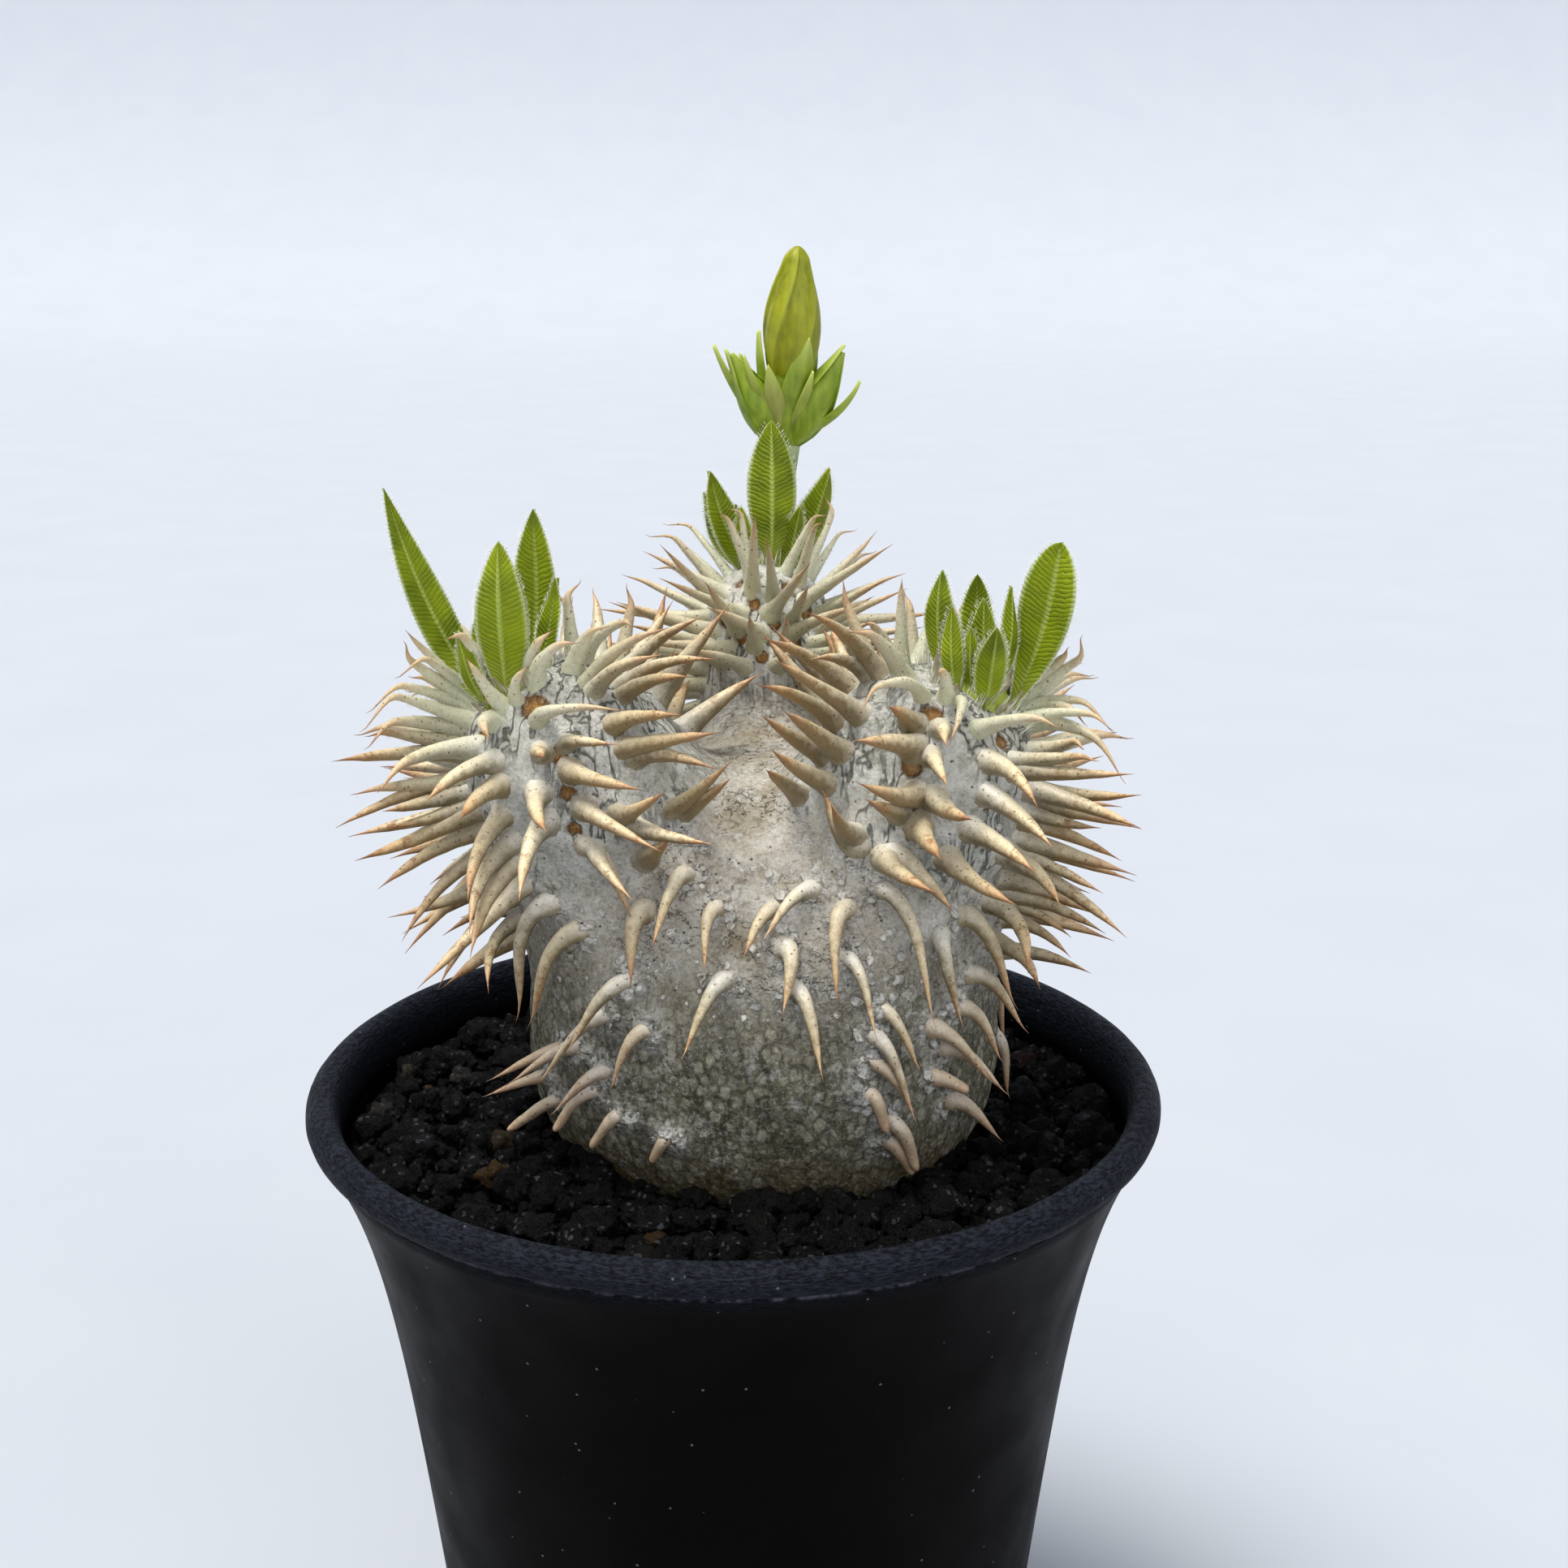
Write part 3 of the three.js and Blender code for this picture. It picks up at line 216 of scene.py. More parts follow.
# The claws on the front of the two front arms: foot's x and height above the rim, tip's x and height,
# as they line up for the viewer on an upright plane through the crowns, then length and radius.
HEAD_SPINES = [
    (-30.5, 52.5, -37.5, 59.5, 15, 1.1), (-29.5, 52, -36.5, 57, 14, 1.1),
    (-29.5, 50.5, -38.5, 57, 15, 1.2), (-31, 50.5, -40.5, 53, 15, 1.2),
    (-31.5, 50, -36.5, 53, 9, 1.1), (-29, 48, -41, 52, 16, 1.3), (-31, 47.5, -41.5, 48, 15, 1.4),
    (-30.5, 45.5, -42, 47.5, 15, 1.4), (-30.5, 44.5, -46, 43.5, 18, 1.4),
    (-29, 45, -40.5, 41.5, 15, 1.4), (-31.5, 41.5, -46, 35.5, 17, 1.5),
    (-30.5, 40, -40.5, 37.5, 14, 1.4), (-26.5, 43.5, -35.5, 38.5, 14, 1.5),
    (-29, 38, -44, 31.5, 18, 1.5), (-32, 37.5, -40, 35.5, 13, 1.3), (-26, 41, -31.5, 36.5, 12, 1.5),
    (-30.5, 35, -41.5, 28, 15, 1.4), (-29.5, 28.5, -40.5, 24.5, 13, 1.3),
    (-29.5, 32.5, -39, 21.5, 16, 1.4), (-26, 37.5, -31, 26.5, 15, 1.4),
    (-25, 34, -31, 22.5, 15, 1.5), (-24.5, 32, -31, 19.5, 16, 1.5), (-24, 29, -37.5, 15.5, 19, 1.5),
    (-29, 26, -35, 15.5, 14, 1.3), (-25, 24.5, -29, 15, 14, 1.4), (-22, 40, -21.5, 35, 12, 1.6),
    (-21, 36.5, -25, 26.5, 14, 1.6), (-18.5, 42.5, -10, 40, 13, 1.6), (-17, 38, -8, 32.5, 15, 1.7),
    (-16, 33.5, -11.5, 26.5, 11, 1.4), (-26.5, 48, -28, 46.5, 9, 1.4),
    (-21.5, 44.5, -21.5, 44, 9, 1.4), (-19, 45.5, -13, 45.5, 10, 1.2), (-22, 48, -12, 50, 13, 1.2),
    (-14, 47.5, -5.5, 49, 12, 1.4), (-13, 45, -1, 47, 15, 1.6), (-11.5, 43.5, -1.5, 42.5, 13, 1.5),
    (-13, 50.5, -4.5, 53.5, 13, 1.4), (-13, 51.5, -1.5, 55.5, 15, 1.4), (-16, 51, -8, 56, 13, 1.3),
    (-16.5, 52, -7, 59.5, 14, 1.3), (-11.5, 55, -3, 60.5, 13, 1.3),
    (-17, 54.5, -9.5, 60.5, 12, 1.4), (-18, 53.5, -14.5, 60, 10, 1.4),
    (-22, 52, -17, 58.5, 11, 1.4), (-22.5, 52.5, -20.5, 59, 9, 1.4),
    (-25.5, 49.5, -30, 56, 10, 1.2), (-24, 50, -23, 55, 8, 1), (-25.5, 52, -31.5, 60, 12, 1.4),
    (-10, 32, -7, 34.5, 9, 1.6), (-13.5, 37, -7.5, 40, 10, 1.5), (-12, 36, -2, 33.5, 14, 1.5),
    (-7.5, 37.5, 0, 43.5, 12, 1.4), (-6, 37, 0, 41.5, 11, 1.3), (21, 45, 14, 46, 13, 1.7),
    (23, 44, 25, 40.5, 11, 1.6), (21.5, 40, 14.5, 41, 13, 1.7), (23.5, 39.5, 28, 36.5, 13, 1.9),
    (19.5, 37.5, 15.5, 39, 10, 1.6), (21.5, 36, 24.5, 31.5, 11, 1.7),
    (14.5, 34.5, 11.5, 38.5, 11, 1.7), (18, 32, 24, 27.5, 13, 1.6), (29, 40, 37.5, 33, 15, 1.6),
    (29, 43.5, 35.5, 38, 13, 1.5), (27.5, 35.5, 35.5, 30, 14, 1.6), (25, 32, 33.5, 26, 14, 1.6),
    (33.5, 40.5, 47.5, 35.5, 17, 1.5), (34, 40.5, 47.5, 39.5, 16, 1.4),
    (31.5, 42.5, 46.5, 42, 17, 1.4), (31.5, 43.5, 42.5, 44.5, 14, 1.3),
    (33.5, 44.5, 40.5, 46.5, 12, 1.3), (28, 47, 38, 48.5, 13, 1.3), (34, 48, 45, 43.5, 15, 1.3),
    (32.5, 48, 44, 48.5, 14, 1.1), (32.5, 49, 40.5, 49.5, 11, 1.1), (33.5, 50, 43, 50, 13, 1.1),
    (32.5, 50.5, 42, 57, 15, 1.3), (32, 51, 39.5, 57, 13, 1.4), (31, 52.5, 32.5, 58.5, 9, 1.4),
    (22, 50.5, 13.5, 51, 15, 1.1), (21, 47.5, 18, 50, 8, 1.5), (26, 50, 25.5, 46, 8, 1),
    (24, 47, 24.5, 45.5, 8, 1.4), (24.5, 50.5, 23.5, 55, 9, 1.2), (15.5, 48.5, 5, 55.5, 16, 1.7),
    (16.5, 52.5, 9, 55.5, 12, 1.3), (14.5, 51.5, 3.5, 58, 17, 1.6), (13.5, 44, 6, 49.5, 15, 1.7),
    (12, 40.5, 4.5, 45, 13, 1.6), (8.5, 39, 4, 42.5, 11, 1.5), (11.5, 43.5, 3.5, 49, 14, 1.5),
    (17.5, 53, 8.5, 61, 16, 1.4), (20, 52.5, 14, 59.5, 13, 1.4), (19.5, 53.5, 15, 60.5, 12, 1.2),
    (13, 47, 3, 52.5, 16, 1.6), (31, 33, 38.5, 26, 14, 1.5), (34, 31.5, 46.5, 22, 18, 1.4),
    (34, 32.5, 43.5, 27.5, 14, 1.4), (33, 27.5, 44, 22.5, 15, 1.4), (33, 36.5, 45.5, 31.5, 15, 1.4),
    (36.5, 33.5, 43, 30.5, 10, 1.2), (36.5, 36.5, 43, 35.5, 11, 1.3), (29.5, 27, 35, 17.5, 14, 1.6),
    (32, 26.5, 40, 22, 11, 1.3), (32, 24.5, 40, 19.5, 12, 1.3), (29.5, 22, 36.5, 15.5, 13, 1.5),
    (31, 20.5, 42.5, 17.5, 14, 1.3),
]
# Skin counts as seen when it faces the viewer this much. It is looked for this far away.
SEEN_BY_VIEWER = -0.1
SIGHT_RANGE = (195, 300)
# Leaf scars on the same plane: x, height above the rim, radius.
SCARS = [
    (-22.2, 49.6, 1.7), (-28.2, 46.7, 0.9), (-19.7, 44.3, 1.1), (-18.9, 39.9, 1.0), (-18.2, 35.5, 0.9),
    (-16.8, 53.1, 1.2), (23, 48.7, 1.3), (21.7, 46.2, 0.9), (21, 42.9, 1.2), (21.9, 38.5, 0.9),
    (30.6, 51, 1.3), (30.5, 45.7, 0.9), (28.8, 33.9, 0.8), (29.8, 38.2, 0.8),
]
# The barrel's sparse spines in front: azimuth, height above the rim, length, swing, radius.
FRONT_SPINES = [
    (-46, 36.6, 9, 34, 1.6), (-58, 28.3, 14, -14, 1.6), (-50, 25.9, 13, -27, 1.5),
    (-34, 29, 8.5, -6, 1.6), (-25, 32.9, 11, -26, 1.4), (-14, 29.3, 8.5, -11, 1.3),
    (4, 29.2, 7.5, -28, 1.3), (16, 31.3, 8.5, -38, 1.3), (25, 29.3, 11, -9, 1.4), (23, 24, 9.5, 15, 1.2),
    (34, 31.4, 15.5, 20, 1.4), (50, 25.2, 10.5, 3, 1.4), (6, 25.3, 8, -2, 1.5), (8, 21.1, 10.5, 16, 1.4),
    (-11, 21.8, 9.5, -25, 1.4), (-37, 20.8, 10.5, -38, 1.5), (-31, 15.5, 8, -28, 1.2),
    (-44, 9.4, 8, -48, 1.2), (-48, 6.4, 6.5, -42, 1.2), (-40, 4.2, 5, -40, 1.1), (-26, 2.6, 3.5, -34, 1),
    (32, 17.7, 8, 27, 1.3), (29, 15, 10.5, 22, 1.4), (28, 12, 8, 39, 1.2), (27, 8.3, 5, 26, 1.2),
    (33, 4.4, 7, 30, 1.2), (34, 1.6, 5, 36, 1.1), (56, 15.7, 8.5, 35, 1.3), (47, 14.2, 9.5, 45, 1.4),
    (51, 11.3, 9, 51, 1.3), (48, 8, 4, 67, 1.2), (55, 4.1, 7.5, 48, 1.3), (61, 19, 9.5, 41, 1.4),
    (57, 26.8, 12.5, 27, 1.5), (-43, 16.3, 11, -43, 1.3), (-52, 11.4, 9, -61, 1.3),
    (-58, 10.2, 9.5, -66, 1.2), (-66, 5.4, 8, -72, 1.2), (-62, 3.1, 7, -58, 1.1),
    (30, 36.4, 7.5, -149, 2), (37, 35.3, 9, 52, 1.9),
]
# The barrel's spines behind, which follow a rule: number, first azimuth and span, heights, lengths.
BACK_COUNT = 22
BACK_AZIMUTH = 98.0
BACK_SPAN = 164.0
BACK_HEIGHTS = (4.0, 27.0)
BACK_LENGTHS = (6.0, 12.0)
BACK_RADIUS = 1.3
BACK_SWING = 30.0
# Where the draws of the claws, of the barrel's front and of its back begin, and the step between.
CLAW_DRAWS = 4000
FRONT_DRAWS = 5000
BACK_DRAWS = 6000
DRAW_STEP = 7
# The parts of the front where only listed spines stand: azimuth, top above the rim.
FRONT_FIELDS = [(62, 36), (25, 45)]
# Roots: azimuth, slope down, length, radius.
ROOTS = [(0, 88, 36, 7.5), (50, 46, 24, 4), (170, 42, 26, 4.2), (285, 50, 22, 3.8)]
ROOT_START = vec(3.8, 0, RIM_Z - 12)
# Bark without the marks of the crowns and their spines.
PLAIN_BARK = {"crowd": 0, "cap": 0, "crack": 0, "scar": 0}

# Leaves: azimuth on the crown, tilt of the foot, length, width, lean outwards, bluntness.
TUFTS = {
    "left": [
        (265, 22, 26, 6.2, 24, 0.1), (350, 20, 17.5, 6.2, 5, 0.5), (140, 14, 17.5, 5.4, 6, 0.45),
        (238, 16, 9, 3.4, 12, 0.3), (306, 20, 9, 3, 24, 0.2), (92, 17, 10, 3, 12, 0.2),
        (196, 20, 9, 3.4, 14, 0.3),
    ],
    "right": [
        (80, 22, 19.5, 7, 16, 1), (288, 22, 11.5, 4.2, 3, 0.35), (320, 22, 9, 2.8, 8, 0.3),
        (0, 9, 10, 3.8, 2, 0.4), (62, 10, 12, 2.6, 9, 0.3), (10, 22, 10, 3.8, 24, 0.4),
        (340, 16, 7, 2.6, 8, 0.3), (110, 18, 8, 2.8, 12, 0.3), (180, 20, 11, 4.2, 10, 0.5),
        (228, 20, 8, 3.2, 12, 0.4),
    ],
    "back": [
        (8, 24, 17.5, 6.6, 2, 0.6), (284, 24, 13, 4.6, 20, 0.3), (262, 22, 11, 3.8, 30, 0.3),
        (72, 24, 13.5, 4.8, 22, 0.3), (322, 24, 7.5, 2.8, 18, 0.3), (42, 24, 8, 3, 22, 0.3),
        (180, 24, 12, 4.6, 16, 0.4), (226, 24, 9, 3.6, 18, 0.4), (128, 24, 9.5, 3.6, 18, 0.4),
    ],
}
# The dome that leaves stand on, how deep they stand in it, and how far they fold.
CORE_HEIGHT = 1.6
BLADE_SINK = 1.2
BLADE_FOLD = 0.28
# Leaves turn their faces to the window.
LIGHT_SIDE = vec(0, -1, 0)
LEAF_COLUMNS = 17
VEINS_PER_MM = 1.8
VEIN_SLANT = 2.1
# Hairs for each millimetre of a leaf's length.
MARGIN_HAIRS = 26

# Lighter stones in the soil: x, y and tone, from grey over beige and ochre to red-brown.
STONES = [
    (-43, 11.6, 0.33), (-44.5, 0.2, 0.05), (-35.7, 10.3, 0.1), (-28.6, -8.5, 0.45), (-27.4, -19, 0.66),
    (37.9, 16.9, 1), (34.6, 6.4, 0.9), (12, 36, 0.2), (-8, -33, 0.8),
]

# The flower stalk and its buds.
STALK_FOOT = above(4.6, 27, 57)
STALK_NODE = above(6, 27, 74.8)
BUD_TIP = above(7.8, 26.5, 100.4)
# Radii up the stalk, up the green cup, and the bud's share of its radius from seat to tip.
STALK_SHAPE = [1.7, 1.55, 1.5, 1.6, 1.85, 2.1]
CUP_SHAPE = [1.5, 2.2, 2.7, 2.8, 2.6, 2.2]
BUD_SHAPE = [0.55, 0.8, 0.96, 1, 0.93, 0.76, 0.52, 0.32]
CUP_LENGTH = 10.7
BUD_SEAT = 8.1
BUD_RADIUS = 3.75
BUD_TWIST = 70.0
BUD_PETALS = 5
STALK_HAIRS = 420
SEPAL_ROWS = 30
SIDE_BUDS = [(above(-0.5, 25, 87.2), 2.5), (above(13.5, 25, 87.4), 2.6)]
SIDE_BUD_START = 0.1
SIDE_BUD_SHAPE = [0.45, 0.85, 1, 0.95, 0.7, 0.4, 0.12]
# Sepals and bracts: foot x, y, height above the rim, tip x, y, height, width, dryness.
NODE_BLADES = [
    (7, 24.8, 79, 9.3, 23.6, 89.3, 4, 0.15), (5.9, 25.6, 76, 4.1, 22.8, 86, 2.9, 0.8),
    (4.8, 25.7, 77, 1, 23.4, 87.1, 2, 0.3), (7.2, 25.3, 77, 9.8, 23, 85.2, 2.1, 0.5),
    (3.9, 26.6, 80, 2.8, 26, 90, 3.2, 0), (9, 27.2, 80, 10.2, 26.8, 90, 3.2, 0),
    (3.6, 26.3, 77, -3, 25.4, 88.1, 2.6, 0.1), (8.4, 26.3, 76.6, 16.4, 25, 82.8, 2.6, 0.1),
    (6.8, 29.1, 79, 7.6, 29.9, 89.5, 4, 0), (8, 28.2, 77.5, 12.5, 28.8, 86.5, 2.6, 0.1),
    (4.6, 28.2, 77.5, 0.4, 28.4, 87, 2.6, 0.1),
]

# The studio floor's half width, in metres.
FLOOR_HALF = 4.0


# Small tools


def chance(n):
    """A repeatable number from 0 to 1 for each whole number."""
    wave = np.sin(np.asarray(n) * 12.9898 + 4.1414) * 43758.5453
    return wave - np.floor(wave)


def jitters(n, *steps):
    """Repeatable numbers from -0.5 to 0.5 for each whole number, one for each step."""
    return np.stack([chance(n + step) - 0.5 for step in steps], axis=-1)


def unit(v):
    v = np.asarray(v, float)
    return v / np.maximum(np.linalg.norm(v, axis=-1, keepdims=True), 1e-12)


def heading(azimuth, tilt):
    """A direction from an azimuth and a tilt from straight up."""
    a = math.radians(azimuth)
    t = math.radians(tilt)
    return vec(math.sin(a) * math.sin(t), -math.cos(a) * math.sin(t), math.cos(t))


def turned_up(v, axis):
    """v turned by the turn that brings straight up onto axis."""
    turn = Vector(UP).rotation_difference(Vector(axis))
    return np.array(turn @ Vector(v))


def smooth(value, low, high):
    """0 below low, 1 above high and an even rise between."""
    t = np.clip((value - low) / (high - low), 0, 1)
    return t * t * (3 - 2 * t)


def lattice(cells, salt):
    """A repeatable number from 0 to 1 for each cell of a grid."""
    wave = np.sin(cells @ vec(12.9898, 78.233, 37.719) + salt * 17.31) * 43758.5453
    return wave - np.floor(wave)


def noise(points, size, salt=0):
    """Smooth noise from -1 to 1 whose bumps measure about size."""
    base = np.floor(points / size)
    f = points / size - base
    f = f * f * (3 - 2 * f)
    total = 0
    for corner in np.ndindex(2, 2, 2):
        share = np.prod(np.where(corner, f, 1 - f), axis=-1)
        total = total + share * lattice(base + corner, salt)
    return 2 * total - 1


def cells(points, size, salt=0):
    """Distances to the nearest and the next of scattered sites, in cells."""
    places = points / size
    base = np.floor(places)
    first = np.full(len(points), 9.0)
    second = first.copy()
    for corner in np.ndindex(3, 3, 3):
        cell = base + corner - 1
        site = cell + np.stack([lattice(cell, salt + i) for i in range(3)], axis=-1)
        distance = np.linalg.norm(site - places, axis=-1)
        second = np.minimum(second, np.maximum(first, distance))
        first = np.minimum(first, distance)
    return first, second


# Meshes


class Net:
    """Points, faces and a number or more for each point, gathered from many small parts."""

    def __init__(self):
        self.points = []
        self.faces = []
        self.numbers = {}
        self.count = 0

    def add(self, points, faces, **numbers):
        self.points.append(points)
        self.faces += [face + self.count for face in faces]
        self.count += len(points)
        for name, values in numbers.items():
            values = np.broadcast_to(np.asarray(values, float), len(points))
            self.numbers.setdefault(name, []).append(values)

    def piece(self, name, material, node):
        """The gathered parts as one piece that replaces a CAD node."""
        mesh = bpy.data.meshes.new(name)
        faces = [corner for group in self.faces for corner in group.tolist()]
        mesh.from_pydata((np.concatenate(self.points) * MM).tolist(), [], faces)
        for key, values in self.numbers.items():
            attribute = mesh.attributes.new(key, "FLOAT", "POINT")
            attribute.data.foreach_set("value", np.concatenate(values).astype(np.float32))
        mesh.shade_smooth()
        mesh.materials.append(material)
        made = bpy.data.objects.new(name, mesh)
        bpy.context.scene.collection.objects.link(made)
        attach(made, "root")
        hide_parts(node)
        return made


def tube(rings):
    """Points and faces of a closed skin over rings that run anticlockwise seen from the tip."""
    count, sides = rings.shape[:2]
    points = np.concatenate([rings.reshape(-1, 3), rings[[0, -1]].mean(axis=1)])
    i = np.arange(sides)
    j = (i + 1) % sides
    start = np.arange(count - 1)[:, None] * sides
    quads = np.stack([start + i, start + j, start + sides + j, start + sides + i], axis=-1)
    last = (count - 1) * sides
    foot = np.stack([j, i, np.full(sides, count * sides)], axis=-1)
    tip = np.stack([last + i, last + j, np.full(sides, count * sides + 1)], axis=-1)
    return points, [quads.reshape(-1, 4), foot, tip]


def round_body(profile, sides):
    """Points and faces of a body turned from a profile of radii and heights."""
    turn = np.linspace(0, 2 * math.pi, sides, endpoint=False)
    rings = [[(r * math.cos(a), r * math.sin(a), z) for a in turn] for r, z in profile]
    return tube(np.array(rings))


def sweep(middle, radii, sides, across):
    """Rings round a middle line."""
    tangent = unit(np.gradient(middle, axis=0))
    first = unit(across - (tangent @ across)[:, None] * tangent)
    second = np.cross(tangent, first)
    turn = np.linspace(0, 2 * math.pi, sides, endpoint=False)[:, None]
    spokes = first[:, None] * np.cos(turn) + second[:, None] * np.sin(turn)
    return middle[:, None] + np.asarray(radii)[:, None, None] * spokes


def ring_numbers(values, sides):
    """One number for each ring of a tube, spread over its points and its two ends."""
    return np.concatenate([np.repeat(values, sides), [values[0], values[-1]]])


def blade(foot, direction, facing, length, outline, curve, fold, thick, relief, columns):
    """Rings of a thin blade, with u from -1 to 1 across it and v from 0 to 1 up it.

    outline gives its half width, curve its bend away from the face, and relief, if not None,
    raises the face.
    """
    across = unit(np.cross(direction, facing))
    face = np.cross(across, direction)
    v = np.linspace(0, 1, len(outline))
    u = np.linspace(-1, 1, columns)
    both = np.concatenate([u, u[::-1]])
    side = np.repeat([0.5, -0.5], columns)
    edge = np.sqrt(np.clip(1 - both**2, 0.02, 1))
    height = fold * np.sqrt(both**2 + 0.01) * outline[:, None] + side * thick * edge
    if relief is not None:
        height = height + relief(both, v[:, None], side)
    middle = foot + direction * (length * v[:, None]) - face * curve[:, None]
    rings = middle[:, None] + across * (both[:, None] * outline[:, None, None])
    rings = rings + face * height[..., None]
    us = np.broadcast_to(both, height.shape)
    vs = np.broadcast_to(v[:, None], height.shape)
    return rings, us, vs


def add_blade(net, rings, us, vs, **numbers):
    points, faces = tube(rings)
    across = np.concatenate([us.reshape(-1), [0, 0]])
    along = np.concatenate([vs.reshape(-1), [0, 1]])
    net.add(points, faces, across=across, along=along, **numbers)


def hairs(net, bases, directions, lengths, radius, bow):
    """Fine tapered hairs, each three-sided with one bend."""
    count = len(bases)
    directions = unit(directions)
    side = unit(np.cross(directions, vec(0.31, 0.87, 0.39)))
    other = np.cross(directions, side)
    length = np.asarray(lengths, float)[:, None]
    middle = bases + directions * length * 0.5
    tip = bases + directions * length + bow * length
    points = []
    for centre, width in ((bases, radius), (middle + 0.3 * bow * length, radius * 0.7)):
        for turn in (0, 2.1, 4.2):
            points.append(centre + width * (side * math.cos(turn) + other * math.sin(turn)))
    points.append(tip)
    stacked = np.stack(points, axis=1).reshape(-1, 3)
    start = np.arange(count)[:, None] * 7
    quads = np.concatenate([start + [i, (i + 1) % 3, 3 + (i + 1) % 3, 3 + i] for i in range(3)])
    ends = [start + [3 + i, 3 + (i + 1) % 3, 6] for i in range(3)] + [start + [2, 1, 0]]
    net.add(stacked, [quads, np.concatenate(ends)])


# The form of the plant


def bar_distance(p, a, b, radius_a, radius_b):
    along = b - a
    t = np.clip((p - a) @ along / (along @ along), 0, 1)
    nearest = a + t[..., None] * along
    return np.linalg.norm(p - nearest, axis=-1) - (radius_a + (radius_b - radius_a) * t)


def soft_least(a, b, width):
    near = np.maximum(width - np.abs(a - b), 0) / width
    return np.minimum(a, b) - near * near * width / 4


for arm in ARMS:
    arm["up"] = unit(arm["crown"] - arm["elbow"])
    arm["end"] = arm["crown"] - arm["up"] * arm["radii"][2]
    arm["out"] = unit((arm["crown"] - BODY_MIDDLE) * vec(1, 1, 0))


def skin_distance(p):
    """About the distance from points to the plant's skin, negative inside."""
    q = p - BODY_MIDDLE
    flat = np.hypot(q[..., 0] / BODY_HALF_X, q[..., 1] / BODY_HALF_Y)
    tall = np.abs(q[..., 2]) / np.where(q[..., 2] > 0, BODY_UP, BODY_DOWN)
    reach = (flat**SQUARENESS + tall**SQUARENESS) ** (1 / SQUARENESS)
    distance = (reach - 1) * BODY_SCALE
    for arm in ARMS:
        low, middle, high = arm["radii"]
        lower = bar_distance(p, arm["foot"], arm["elbow"], low, middle)
        upper = bar_distance(p, arm["elbow"], arm["end"], middle, high)
        distance = soft_least(distance, np.minimum(lower, upper), BLEND)
    return distance


def skin_normal(p):
    step = 0.05
    slopes = [skin_distance(p + step * axis) - skin_distance(p - step * axis) for axis in np.eye(3)]
    return unit(np.stack(slopes, axis=-1))


def settle(p, rounds):
    """Points moved onto the skin."""
    for _ in range(rounds):
        p = p - skin_normal(p) * skin_distance(p)[..., None]
    return p


def way_out(start, directions):
    """How far from a point inside to the skin, along each direction, and 0 where there is no way."""
    directions = np.atleast_2d(directions)
    steps = np.arange(0.5, 60, 0.5)
    found = skin_distance(start + directions[:, None] * steps[:, None]) > 0
    first = found.argmax(axis=1)
    far = steps[first]
    near = far - 0.5
    for _ in range(20):
        middle = (near + far) / 2
        outside = skin_distance(start + directions * middle[:, None]) > 0
        far = np.where(outside, middle, far)
        near = np.where(outside, near, middle)
    lost = ~found.any(axis=1) | (skin_distance(start) > 0)
    return np.where(lost, 0, near)


def ball_net(parts):
    """An octahedron with each edge in equal parts: directions and triangles."""
    numbers = {}
    triangles = []

    def corner(x, y, z):
        return numbers.setdefault((x, y, z), len(numbers))

    for sx, sy, sz in np.ndindex(2, 2, 2):
        sx, sy, sz = (1 - 2 * s for s in (sx, sy, sz))
        for i in range(parts):
            for j in range(parts - i):
                steps = [(i, j), (i + 1, j), (i, j + 1), (i + 1, j + 1)]
                named = [corner(sx * a, sy * b, sz * (parts - a - b)) for a, b in steps[:3]]
                made = [named]
                if i + j < parts - 1:
                    a, b = steps[3]
                    made.append([named[1], corner(sx * a, sy * b, sz * (parts - a - b)), named[2]])
                triangles += made if sx * sy * sz > 0 else [face[::-1] for face in made]
    return unit(np.array(list(numbers))), np.array(triangles)


def edges_of(triangles):
    pairs = np.sort(np.concatenate([triangles[:, [0, 1]], triangles[:, [1, 2]], triangles[:, [2, 0]]]))
    unique, back = np.unique(pairs, axis=0, return_inverse=True)
    return unique, back.reshape(3, -1)


def relax(points, triangles, rounds, held=()):
    """Points evened out over the skin, longer edges pulling more."""
    a, b = edges_of(triangles)[0].T
    ends = np.concatenate([a, b])
    for _ in range(rounds):
        step = points[b] - points[a]
        weight = (step * step).sum(axis=1)
        pulls = np.concatenate([points[b] * weight[:, None], points[a] * weight[:, None]])
        total = np.bincount(ends, np.concatenate([weight, weight]), len(points))
        sums = [np.bincount(ends, pulls[:, axis], len(points)) for axis in range(3)]
        moved = np.stack(sums, axis=-1) / total[:, None]
        moved += 0.4 * (points - moved)
        for number, place in held:
            moved[number] = place
        points = settle(moved, 1)
    return points


def split(points, triangles):
    """Each triangle cut in four."""
    pairs, back = edges_of(triangles)
    ab, bc, ca = back + len(points)
    a, b, c = triangles.T
    corners = [(a, ab, ca), (b, bc, ab), (c, ca, bc), (ab, bc, ca)]
    cut = np.concatenate([np.stack(corner, axis=-1) for corner in corners])
    return np.concatenate([points, points[pairs].mean(axis=1)]), cut


def skin_net():
    directions, triangles = ball_net(NET_PARTS)
    points = HEART + directions * way_out(HEART, directions)[:, None]
    held = []
    for arm in ARMS:
        nearest = int(np.linalg.norm(points - arm["crown"], axis=1).argmin())
        held.append((nearest, arm["crown"]))
    points = relax(points, triangles, NET_ROUNDS, held)
    for _ in range(NET_SPLITS):
        points, triangles = split(points, triangles)
        points = relax(settle(points, 1), triangles, 4)
    return settle(points, 2), triangles


# Where the spines stand


